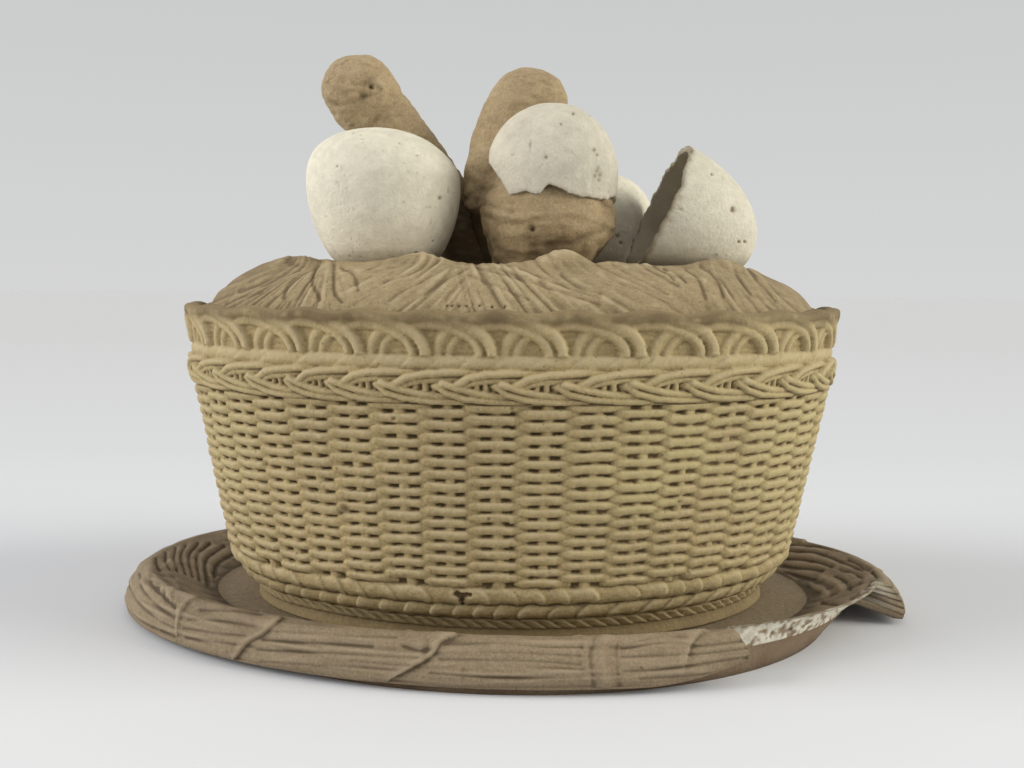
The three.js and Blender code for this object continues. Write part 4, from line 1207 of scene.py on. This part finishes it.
def whole_egg(name, x, y, rise, radius, above, below, lean, foot, low_power, sag, marks):
    """A whole egg standing in the straw: its middle, its half width, its half heights above
    and below that, the degrees it leans, its flat foot and its marks in pixels."""
    turn = np.linspace(math.pi * 0.985, 0.012, EGG_ROWS)[:, None]
    height = np.where(turn > math.pi / 2, below, above) * np.cos(turn)
    height = np.maximum(height, foot)
    widths = egg_radius(height, radius, above, below, low_power=low_power)
    form = round_form(widths, height, EGG_COLUMNS)
    form[..., 2] -= sag * form[..., 0] * ease(-4, 14, form[..., 2])
    place = tipped(form, lean, x, y, ORNAMENT_BASE + rise)
    px, py = seen_at(place)
    dark = spots(px, py, marks) * (place[..., 1] < y)
    relief = egg_finish(place, 101) - 0.7 * dark
    low = ease(ORNAMENT_BASE + 7, ORNAMENT_BASE + 2, place[..., 2] + 1.2 * noise(place, 9, 108))
    stain_and_shade = 0.55 * low + 1.2 * dark + np.maximum(noise(place, 1.6, 109) - 0.66, 0) * 2
    return moulded(name, place, relief, (-1.2, 0.3), stain_and_shade)


LEFT_EGG = dict(
    x=-52.6, y=-10, rise=32.4, radius=31.1, above=22.0, below=42,
    lean=-3, foot=-37.0, low_power=2.0, sag=0.1,
    marks=((440, 198, 1.7), (416, 254, 1.8), (433, 241, 0.9), (337, 166, 0.9)),
)
BACK_EGG = dict(
    x=38, y=46, rise=22, radius=26, above=21.5, below=36,
    lean=4, foot=-25.5, low_power=2.4, sag=0.0,
    marks=((618, 236, 2.0), (621, 243, 1.8)),
)


# The cap that the middle hatchling wears: sizes in millimetres, marks in pixels
CAP = dict(x=15.2, y=-14.0, rise=34.0, radius=26.8, above=30.3, below=44.0, wall=2.4, lean=3.0)
CAP_MARKS = (
    (597, 171, 1.8), (600, 175, 2.2), (595, 176, 1.8), (599, 180, 1.8), (594, 150, 1.6),
    (597, 155, 1.4), (546, 157, 1.6), (561, 124, 1.2), (573, 114, 1.4), (590, 115, 1.2),
    (598, 168, 1.4),
)
CAP_CLOUDS = ((506, 134, 9), (522, 124, 9), (600, 172, 6))


def cap_form(height, columns, thinner=0.0):
    """The cap's egg at those heights, smaller all round by the shell's wall for its inside."""
    above = CAP["above"] - thinner + (0.01 if thinner else 0)
    widths = egg_radius(height, CAP["radius"] - thinner, above, CAP["below"])
    return round_form(widths, height, columns)


def cap_place(form):
    return tipped(form, CAP["lean"], CAP["x"], CAP["y"], ORNAMENT_BASE + CAP["rise"])


# The broken edge at the front, x, y and so on, and a faint ridge, in the photograph's pixels
CAP_EDGE = (
    484, 150, 488, 161, 493, 168, 500, 178, 505, 187, 509, 195, 515, 194, 520, 192, 526, 190,
    531, 193, 536, 195, 541, 192, 545, 186, 549, 183, 554, 185, 561, 188, 569, 193, 576, 195,
    590, 196, 600, 199, 608, 199, 615, 196, 620, 194,
)
CAP_RIDGE = ((0.3, 3.0, ((572, 106, 581, 125, 585, 150, 587, 194),)),)


def cap_edge(columns):
    """Height of the cap's broken edge at each column, over the egg's widest line. It is drawn
    after the photograph at the front and ragged at the back."""
    heights = np.linspace(24, -16, 200)[:, None]
    px, py = seen_at(cap_place(cap_form(heights, columns)))
    edge = np.reshape(np.array(CAP_EDGE, float), (-1, 2))
    beyond = py > np.interp(px, edge[:, 0], edge[:, 1])
    first = np.where(beyond.any(0), beyond.argmax(0), len(heights) - 1)
    drawn = heights[first, 0]
    turn = np.arange(columns) * TAU / columns
    ragged = 1.6 * noise(joined(np.cos(turn) * 27, np.sin(turn) * 27, 0), 5, 113) - 7.0
    ragged += 21 * ease(0.3, -0.7, np.sin(turn))
    facing = ease(-0.05, 0.35, np.cos(turn))
    return ragged + (drawn - ragged) * facing + 0.35 * noise(joined(turn * 27, 0, 0), 1.3, 114)


def cap():
    edge = cap_edge(SHELL_COLUMNS)[None, :]
    part = np.linspace(0, 1, SHELL_ROWS)[:, None]
    top = CAP["above"] * 0.9995
    swing = np.sin(part * math.pi / 2)
    height = edge + (top - edge) * swing
    inner_height = (edge - 0.2 + (top - CAP["wall"] - edge + 0.2) * swing)[::-1]
    inner = cap_form(inner_height, SHELL_COLUMNS, CAP["wall"])
    place = cap_place(np.concatenate([inner, cap_form(height, SHELL_COLUMNS)]))
    px, py = seen_at(place)
    front = (place[..., 1] < CAP["y"]) & (np.arange(2 * SHELL_ROWS)[:, None] >= SHELL_ROWS)
    dark = spots(px, py, CAP_MARKS) * front
    relief = egg_finish(place, 121) - 0.4 * dark + strokes(px, py, CAP_RIDGE) * front
    near_edge = np.concatenate([ease(0.93, 1.0, part), ease(0.03, 0.0, part)]) + 0 * px
    cloud = 0.3 * spots(px, py, CAP_CLOUDS) * front * (1 + noise(place, 3, 127))
    stain_and_shade = 0.8 * near_edge * (0.6 + 0.5 * noise(place, 4, 126)) + 1.1 * dark + 0.6 * cloud
    return moulded("egg_cap", place, relief, (-1.0, 0.25), stain_and_shade)


# The open shell lying on its side: sizes in millimetres, marks and worn places in pixels
SHELL = dict(x=59.0, y=0.0, rise=24.0, radius=29.0, depth=45.0, wall=2.6, turn=24.0, swing=4.0)
SHELL_MARKS = (
    (733, 210, 2.4), (733, 208, 1.8), (692, 150, 1.6), (712, 174, 1.2), (745, 242, 1.4),
    (739, 242, 1.4),
)
SHELL_WORN = ((679, 197, 4), (675, 208, 5), (667, 220, 6), (658, 231, 5))


def shell_cup(radius, depth, lip, part):
    """Radius and place along the shell's axis, from its lip to its end."""
    along = lip + (depth - lip) * np.sin(part * math.pi / 2) * 0.9998
    return radius * np.sqrt(np.clip(1 - (along / depth) ** 2, 0, 1)), along


def open_shell():
    turn = np.arange(SHELL_COLUMNS)[None, :] * TAU / SHELL_COLUMNS
    radius, depth, wall = (SHELL[key] for key in ("radius", "depth", "wall"))
    around = joined(np.cos(turn) * radius, np.sin(turn) * radius, 0)
    chips = 0.6 * noise(around, 4.5, 131) + 0.4 * noise(around, 1.6, 132)
    edge = 1.3 + np.clip(chips, -1.2, 1.4)
    part = np.linspace(0, 1, SHELL_ROWS)[:, None]
    r_out, h_out = shell_cup(radius, depth, edge, part)
    r_in, h_in = shell_cup(radius - wall, depth - wall, edge + 0.1, part)
    r, h = np.concatenate([r_in[::-1], r_out]), np.concatenate([h_in[::-1], h_out])

    # The shell's own axis lies along +X with its mouth towards -X
    local = joined(h, -r * np.cos(turn), r * np.sin(turn))[:, ::-1]
    place = turned(tipped(local, SHELL["turn"], 0, 0, 0), SHELL["swing"])
    place = place + (SHELL["x"], SHELL["y"], ORNAMENT_BASE + SHELL["rise"])
    place[..., 2] = np.maximum(place[..., 2], ORNAMENT_BASE - 1.5)
    px, py = seen_at(place)
    outside = np.arange(2 * SHELL_ROWS)[:, None] >= SHELL_ROWS
    dark = spots(px, py, SHELL_MARKS) * outside
    relief = egg_finish(place, 141) - 0.8 * dark
    rim = np.concatenate([ease(0.94, 1.0, part), ease(0.035, 0.0, part)]) + 0 * px
    low = ease(ORNAMENT_BASE + 6, ORNAMENT_BASE + 1, place[..., 2] + 1.5 * noise(place, 8, 148))
    worn = spots(px, py, SHELL_WORN) * outside
    rim = np.maximum(rim, worn * ease(-0.3, 0.3, noise(place, 1.5, 149)))
    # The inside is painted darker as shade; the rim and worn places are stained, and it darkens low
    # down
    stain_and_shade = np.maximum(np.where(outside, 0.0, 0.75), 0.85 * rim) + 0.5 * low + 1.2 * dark
    return moulded("egg_half", place, relief, (-1.0, 0.25), stain_and_shade)


# Hatchlings: distance functions, joined softly
def soft_min(a, b, reach):
    """The lesser of two distances, blended where they are nearly the same."""
    h = np.clip(0.5 + 0.5 * (b - a) / reach, 0, 1)
    return b + (a - b) * h - reach * h * (1 - h)


def ball(points, x, y, rise, radius, stretch=(1, 1, 1)):
    offset = (points - (x, y, ORNAMENT_BASE + rise)) / stretch
    return (np.linalg.norm(offset, axis=-1) - radius) * min(stretch)


def limb(points, stations):
    """Distance to a body swept along a curve through its foot, bend and head, each given as
    x, y, rise and radius."""
    best = np.full(points.shape[:-1], 1e9)
    foot, bend, head = (np.array(station, float) for station in stations)
    for t in np.linspace(0, 1, 15):
        x, y, rise, radius = (1 - t) ** 2 * foot + 2 * t * (1 - t) * bend + t * t * head
        centre = np.array((x, y, ORNAMENT_BASE + rise))
        best = np.minimum(best, np.linalg.norm(points - centre, axis=-1) - radius)
    return best


def left_form(points):
    """Distance to the plain form of the left hatchling."""
    body = limb(points, ((-12, 22, -1, 15), (-36, 22, 38, 12), (-65, 20, 73.6, 14.4)))
    head = ball(points, -66.5, 20, 74.0, 14.6, (1.0, 1, 0.98))
    bill = ball(points, -69.6, 17, 75.0, 12.6, (1.0, 0.95, 1.0))
    jaw = ball(points, -66.0, 17, 63.5, 8.6, (1.15, 1.0, 1.0))
    return soft_min(soft_min(soft_min(body, head, 5), bill, 2), jaw, 3)


def middle_form(points):
    """Distance to the plain form of the middle hatchling."""
    neck = limb(points, ((5, 12, -1, 15.0), (-9, 12, 40, 20.5), (5.3, 12, 67.2, 15.6)))
    head = ball(points, 9.5, 12, 70.0, 12.4, (1.05, 1, 0.9))
    chest = ball(points, 14.0, -14, 19.5, 26.0, (1.03, 1, 0.9))
    low = ball(points, 11.5, -14, 4.0, 19.5, (1.0, 0.95, 1.0))
    shoulder = ball(points, -10.0, 2, 37, 10.8)
    lump = soft_min(ball(points, -13.0, -2, 28, 7.6), shoulder, 3)
    flank = ball(points, 31.0, -16, 16.5, 9.0, (1.1, 1.2, 1.0))
    whole = soft_min(soft_min(neck, head, 4), lump, 4)
    return soft_min(soft_min(whole, soft_min(chest, low, 5), 5), flank, 3)


# The hatchlings' wrinkles, bare crown, eye, pores, hole and dark spots, in the photograph's pixels
LEFT_BIRD_LINES = (
    (-1.0, 2.8, ((326, 100, 334, 104, 343, 105, 352, 102, 362, 97, 369, 93),)),
    (-0.8, 4.2, ((388, 64, 376, 72, 366, 82, 361, 96),)),
    (-1.0, 1.6, ((367, 96, 374, 95, 380, 89),)),
    (1.3, 4.0, ((378, 80, 386, 90, 382, 102),)),
    (-1.2, 3.4, ((370, 128, 380, 114, 394, 104),)),
    (1.0, 4.0, ((356, 74, 352, 84, 354, 94),)),
    (-0.8, 2.6, ((402, 123, 412, 117, 420, 113), (424, 140, 434, 133, 442, 127),)),
    (-0.8, 2.4, ((440, 160, 452, 153, 460, 148), (448, 170, 456, 165, 462, 160),)),
    (-0.7, 2.4, ((412, 132, 424, 126, 430, 121),)),
)
LEFT_BIRD_CROWN = (326, 84, 330, 76, 338, 66, 350, 60)
LEFT_EYE, LEFT_SPOT = (371, 87), (352, 125, 2.0)
LEFT_PORES_X, LEFT_PORES_Y = (366, 345), (108, 96)
MIDDLE_BIRD_LINES = (
    (-1.3, 3.4, ((474, 212, 486, 216, 500, 221, 522, 224),)),
    (-0.7, 3.2, ((530, 222, 548, 219, 575, 220, 602, 225),)),
    (0.8, 4.5, ((482, 209, 500, 213, 520, 217, 545, 214, 580, 214), (505, 232, 520, 238, 526, 250),)),
    (-1.0, 2.6, ((482, 204, 496, 207, 512, 212),)),
    (-1.7, 3.2, ((464, 199, 474, 193, 484, 185),)),
    (-1.2, 2.8, ((476, 200, 483, 191, 496, 186),)),
    (-1.9, 4.4, ((548, 245, 565, 241, 585, 238, 604, 230),)),
    (1.2, 4.0, ((466, 204, 474, 207, 478, 213),)),
    (-0.8, 2.8, ((486, 238, 492, 230, 500, 227),)),
    (-0.9, 3.0, ((600, 200, 607, 210, 604, 222),)),
    (-0.8, 3.0, ((470, 165, 478, 172, 488, 174),)),
    (-0.7, 2.6, ((466, 178, 474, 182, 486, 180),)),
)
MIDDLE_HOLE, MIDDLE_SPOTS = (533, 229), ((477, 203, 1.6), (472, 205, 1.4))
# How far back the drawn side of each hatchling reaches, in millimetres
LEFT_FRONT, MIDDLE_FRONT = 21, 12


def bird_skin(points, seed, folds, facing):
    """Wrinkles of soft skin over a hatchling, with its folds where the photograph has them."""
    px, py = seen_at(points)
    drawn = 0.5 * strokes(px, py, folds) * facing
    fine = noise(points * (0.36, 0.36, 1.0), 1.6, seed) * (0.6 + 0.4 * noise(points, 9, seed + 1))
    rough = 0.42 * noise(points, 9, seed + 2) + 0.16 * noise(points, 3.2, seed + 3)
    return drawn + 0.6 * fine + (rough + 0.1 * noise(points, 1.5, seed + 4))


def bird_fields(folds, fine, low, dark):
    """Point attributes of a hatchling: darker in the grooves of its folds and paler on their
    ridges, as dirt, wear and painted light, and darker where low says, which is painted shade.
    """
    hollow = 0.46 - 0.26 * folds - 0.13 * fine + low
    return {"hollow": np.clip(hollow, 0, 1), "stain_and_shade": np.clip(dark, 0, 1)}


def left_bird():
    def relief(points):
        px, py = seen_at(points)
        facing = points[:, 1] < LEFT_FRONT
        eye = spots(px, py, ((*LEFT_EYE, 2.1),)) * facing
        pores = np.maximum(noise(points, 1.7, 164) - 0.35, 0)
        pores = pores * ease(*LEFT_PORES_X, px) * ease(*LEFT_PORES_Y, py)
        return bird_skin(points, 161, LEFT_BIRD_LINES, facing) - 2.4 * eye - 0.9 * pores

    def paint(points):
        px, py = seen_at(points)
        facing = points[:, 1] < LEFT_FRONT
        folds = bird_skin(points, 161, LEFT_BIRD_LINES, facing)
        dark = spots(px, py, ((*LEFT_EYE, 2.3), LEFT_SPOT)) * facing
        crown = np.reshape(LEFT_BIRD_CROWN, (-1, 2))
        edge = np.exp(-((to_line(px, py, crown) / 2.4) ** 2)) * facing
        specks = (noise(points, 1.5, 165) > 0.25) * edge
        fine = noise(points * (0.5, 0.5, 1.0), 1.5, 166)
        # Painted shade low on the neck, behind the left egg
        low = 0.4 * ease(ORNAMENT_BASE + 42, ORNAMENT_BASE + 14, points[:, 2])
        return bird_fields(folds, fine, low, dark + 0.5 * specks)

    lowest, highest = (-86, -2, 139), (6, 42, 236)
    return skin("hatchling_left_skin", left_form, 3, relief, lowest, highest, 0.75, paint)


def middle_bird():
    def relief(points):
        px, py = seen_at(points)
        facing = points[:, 1] < MIDDLE_FRONT
        hole = spots(px, py, ((*MIDDLE_HOLE, 2.6),)) * facing
        return bird_skin(points, 171, MIDDLE_BIRD_LINES, facing) - 2.6 * hole

    def paint(points):
        px, py = seen_at(points)
        facing = points[:, 1] < MIDDLE_FRONT
        folds = bird_skin(points, 171, MIDDLE_BIRD_LINES, facing)
        dark = spots(px, py, ((*MIDDLE_HOLE, 2.8), *MIDDLE_SPOTS)) * facing
        # Painted shade low down, where the body meets the cover
        low = 0.6 * ease(ORNAMENT_BASE + 16, ORNAMENT_BASE + 2, points[:, 2])
        # Deeper painted shade in the corner between the chest, the left egg and the left hatchling
        corner = (points[:, 1] > -12) & (points[:, 0] < 4)
        level = points[:, 2] + 3 * noise(points, 6, 177)
        low += 2.8 * corner * ease(ORNAMENT_BASE + 30, ORNAMENT_BASE + 14, level)
        fine = noise(points * (0.4, 0.4, 1.0), 1.5, 178)
        return bird_fields(folds, fine, 0.46 * low, dark)

    lowest, highest = (-28, -48, 138), (50, 38, 232)
    return skin("hatchling_middle_skin", middle_form, 3.5, relief, lowest, highest, 0.8, paint)


# Each ware's colours: its body, its ridges (wear and painted highlight), its hollows (dirt and
# painted shade), its stain (also painted shade) and its paler field (painted highlight on the
# cane, the bare fracture on the stand)
STONEWARES = {
    "cane_stoneware": dict(
        body=(0.385, 0.291, 0.137), pale=(0.5, 0.4, 0.235), dark=(0.105, 0.07, 0.028),
        stain_and_shade=(0.17, 0.118, 0.055), pale_field=(0.5, 0.42, 0.2),
    ),
    "cover_stoneware": dict(
        body=(0.345, 0.26, 0.137), pale=(0.48, 0.385, 0.235), dark=(0.17, 0.118, 0.058),
        stain_and_shade=(0.06, 0.04, 0.02),
    ),
    "stand_stoneware": dict(
        body=(0.27, 0.205, 0.125), pale=(0.37, 0.29, 0.19), dark=(0.085, 0.058, 0.03),
        stain_and_shade=(0.125, 0.072, 0.04), pale_field=(0.62, 0.58, 0.48),
    ),
    "white_stoneware": dict(
        body=(0.78, 0.73, 0.59), pale=(0.82, 0.78, 0.65), dark=(0.45, 0.38, 0.26),
        stain_and_shade=(0.22, 0.165, 0.095), specks=0.08, sandy=0.3,
    ),
    # The open shell and the cap are of the white ware, with bodies darkened as painted shade
    "shaded_shell_stoneware": dict(
        body=(0.68, 0.635, 0.505), pale=(0.74, 0.7, 0.57), dark=(0.4, 0.33, 0.22),
        stain_and_shade=(0.22, 0.165, 0.095), specks=0.12, sandy=0.4,
    ),
    "shaded_cap_stoneware": dict(
        body=(0.605, 0.56, 0.45), pale=(0.68, 0.64, 0.53), dark=(0.4, 0.33, 0.22),
        stain_and_shade=(0.22, 0.165, 0.095), specks=0.12, sandy=0.4,
    ),
    "bird_stoneware": dict(
        body=(0.39, 0.29, 0.16), pale=(0.5, 0.39, 0.24), dark=(0.13, 0.088, 0.042),
        stain_and_shade=(0.035, 0.022, 0.012),
    ),
    "liner_glaze": dict(
        body=(0.66, 0.58, 0.4), pale=(0.7, 0.62, 0.45), dark=(0.4, 0.32, 0.2),
        stain_and_shade=(0.5, 0.4, 0.28), grain=0.15, specks=0.2, rough=0.32,
    ),
}
wares = {name: stoneware(name, **look) for name, look in STONEWARES.items()}


def dress(piece, node, slot_name, body, ware=None):
    """Gives a piece its ware, which is the one named after its slot unless another is given, hides the
    node that it replaces and attaches the piece to the body that it rides.
    """
    piece.data.materials.append(wares[ware or slot_name])
    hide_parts(node)
    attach(piece, body)


dress(basket(), "basket_body", "cane_stoneware", "dish")
dress(stand(), "stand", "stand_stoneware", "stand")
dress(cover(), "cover", "cover_stoneware", "cover")
dress(liner(), "liner", "liner_glaze", "liner")
dress(whole_egg("egg_left", **LEFT_EGG), "egg_whole_left", "white_stoneware", "cover")
dress(whole_egg("egg_back", **BACK_EGG), "egg_whole_back", "white_stoneware", "cover")
dress(cap(), "eggshell_cap", "white_stoneware", "cover", "shaded_cap_stoneware")
dress(open_shell(), "eggshell_open", "white_stoneware", "cover", "shaded_shell_stoneware")
dress(left_bird(), "hatchling_left", "bird_stoneware", "cover")
dress(middle_bird(), "hatchling_middle", "bird_stoneware", "cover")


# Stage, light and camera
# The floor's colour from the front to the back, darker towards the back as painted shade
FLOOR_STOPS = (
    (0.0, (0.742, 0.755, 0.785)), (0.1, (0.67, 0.681, 0.706)), (0.18, (0.634, 0.644, 0.667)),
    (0.4, (0.615, 0.623, 0.642)), (1.0, (0.585, 0.592, 0.606)),
)
FLOOR_HALF = 12.0


def paper_floor():
    """A plain sheet of pale paper, its colour darkened from the front to the back as painted shade."""
    sheet = bpy.data.meshes.new("floor_sheet")
    corners = [(FLOOR_HALF * x, FLOOR_HALF * y, 0) for x, y in ((-1, -1), (1, -1), (1, 1), (-1, 1))]
    sheet.from_pydata(corners, [], [(0, 1, 2, 3)])
    floor = bpy.data.objects.new("floor_sheet", sheet)
    bpy.context.scene.collection.objects.link(floor)
    n = Material("floor_paper")
    spread = n.add("ShaderNodeSeparateXYZ")
    n.link(n.place, spread.inputs[0])
    far = n.add("ShaderNodeMapRange", interpolation_type="SMOOTHSTEP")
    far.inputs["From Min"].default_value = -0.3
    far.inputs["From Max"].default_value = 2.4
    n.link(spread.outputs["Y"], far.inputs["Value"])
    n.link(n.ramp(far.outputs[0], *FLOOR_STOPS), n.shader.inputs["Base Color"])
    n.shader.inputs["Roughness"].default_value = 1.0
    n.shader.inputs["Specular IOR Level"].default_value = 0.0
    sheet.materials.append(n.material)


def studio_world():
    """The world lights the dish evenly; a ray from the camera sees a pale backdrop instead, darker
    upwards as painted shade.
    """
    world = bpy.data.worlds.new("studio")
    world.use_nodes = True
    n = Nodes(world.node_tree)
    plain = n.tree.nodes["Background"]
    plain.inputs["Color"].default_value = (1.0, 1.0, 1.0, 1)
    plain.inputs["Strength"].default_value = 0.555
    seen = n.add("ShaderNodeBackground")
    height = n.add("ShaderNodeSeparateXYZ")
    n.link(n.add("ShaderNodeTexCoord").outputs["Generated"], height.inputs[0])
    fade = n.ramp(height.outputs["Z"], (0.0, (0.66, 0.663, 0.663)), (0.25, (0.59, 0.6, 0.6)))
    n.link(fade, seen.inputs["Color"])
    rays = n.add("ShaderNodeLightPath").outputs
    straight = n.maths(rays["Is Camera Ray"], rays["Is Glossy Ray"], "MAXIMUM")
    through = n.maths(straight, rays["Is Transmission Ray"], "MAXIMUM")
    choice = n.add("ShaderNodeMixShader")
    for number, source in enumerate((through, plain.outputs[0], seen.outputs[0])):
        n.link(source, choice.inputs[number])
    n.link(choice.outputs[0], n.tree.nodes["World Output"].inputs["Surface"])
    bpy.context.scene.world = world


def soft_lamp(name, towards, power, colour):
    """A distant broad light that stands in the direction towards."""
    light = bpy.data.lights.new(name, "SUN")
    light.energy = power
    light.color = colour
    light.angle = math.radians(38)
    lamp = bpy.data.objects.new(name, light)
    lamp.rotation_euler = (-Vector(towards)).to_track_quat("-Z", "Y").to_euler()
    bpy.context.scene.collection.objects.link(lamp)


def photo_camera():
    """A camera at the photograph's eye, turned as its view is."""
    camera = bpy.data.cameras.new("camera")
    camera.sensor_width = 36
    camera.lens = camera.sensor_width * FOCAL / (2 * CENTRE_X)
    camera.clip_start, camera.clip_end = 0.01, 50
    eye = bpy.data.objects.new("camera", camera)
    turn = np.eye(4)
    turn[:3] = np.stack([RIGHT, UP, -FORWARD, EYE * MM], 1)
    eye.matrix_world = Matrix(turn.tolist())
    bpy.context.scene.collection.objects.link(eye)
    bpy.context.scene.camera = eye


paper_floor()
studio_world()
# Two broad lamps, high at the left and at the right, the right one warmer
soft_lamp("lamp_left", (-0.95, -0.14, 0.4), 2.3, (1.0, 0.985, 0.96))
soft_lamp("lamp_right", (0.95, -0.13, 0.39), 2.35, (1.0, 0.98, 0.88))
photo_camera()
bpy.context.scene.view_settings.view_transform = "Standard"
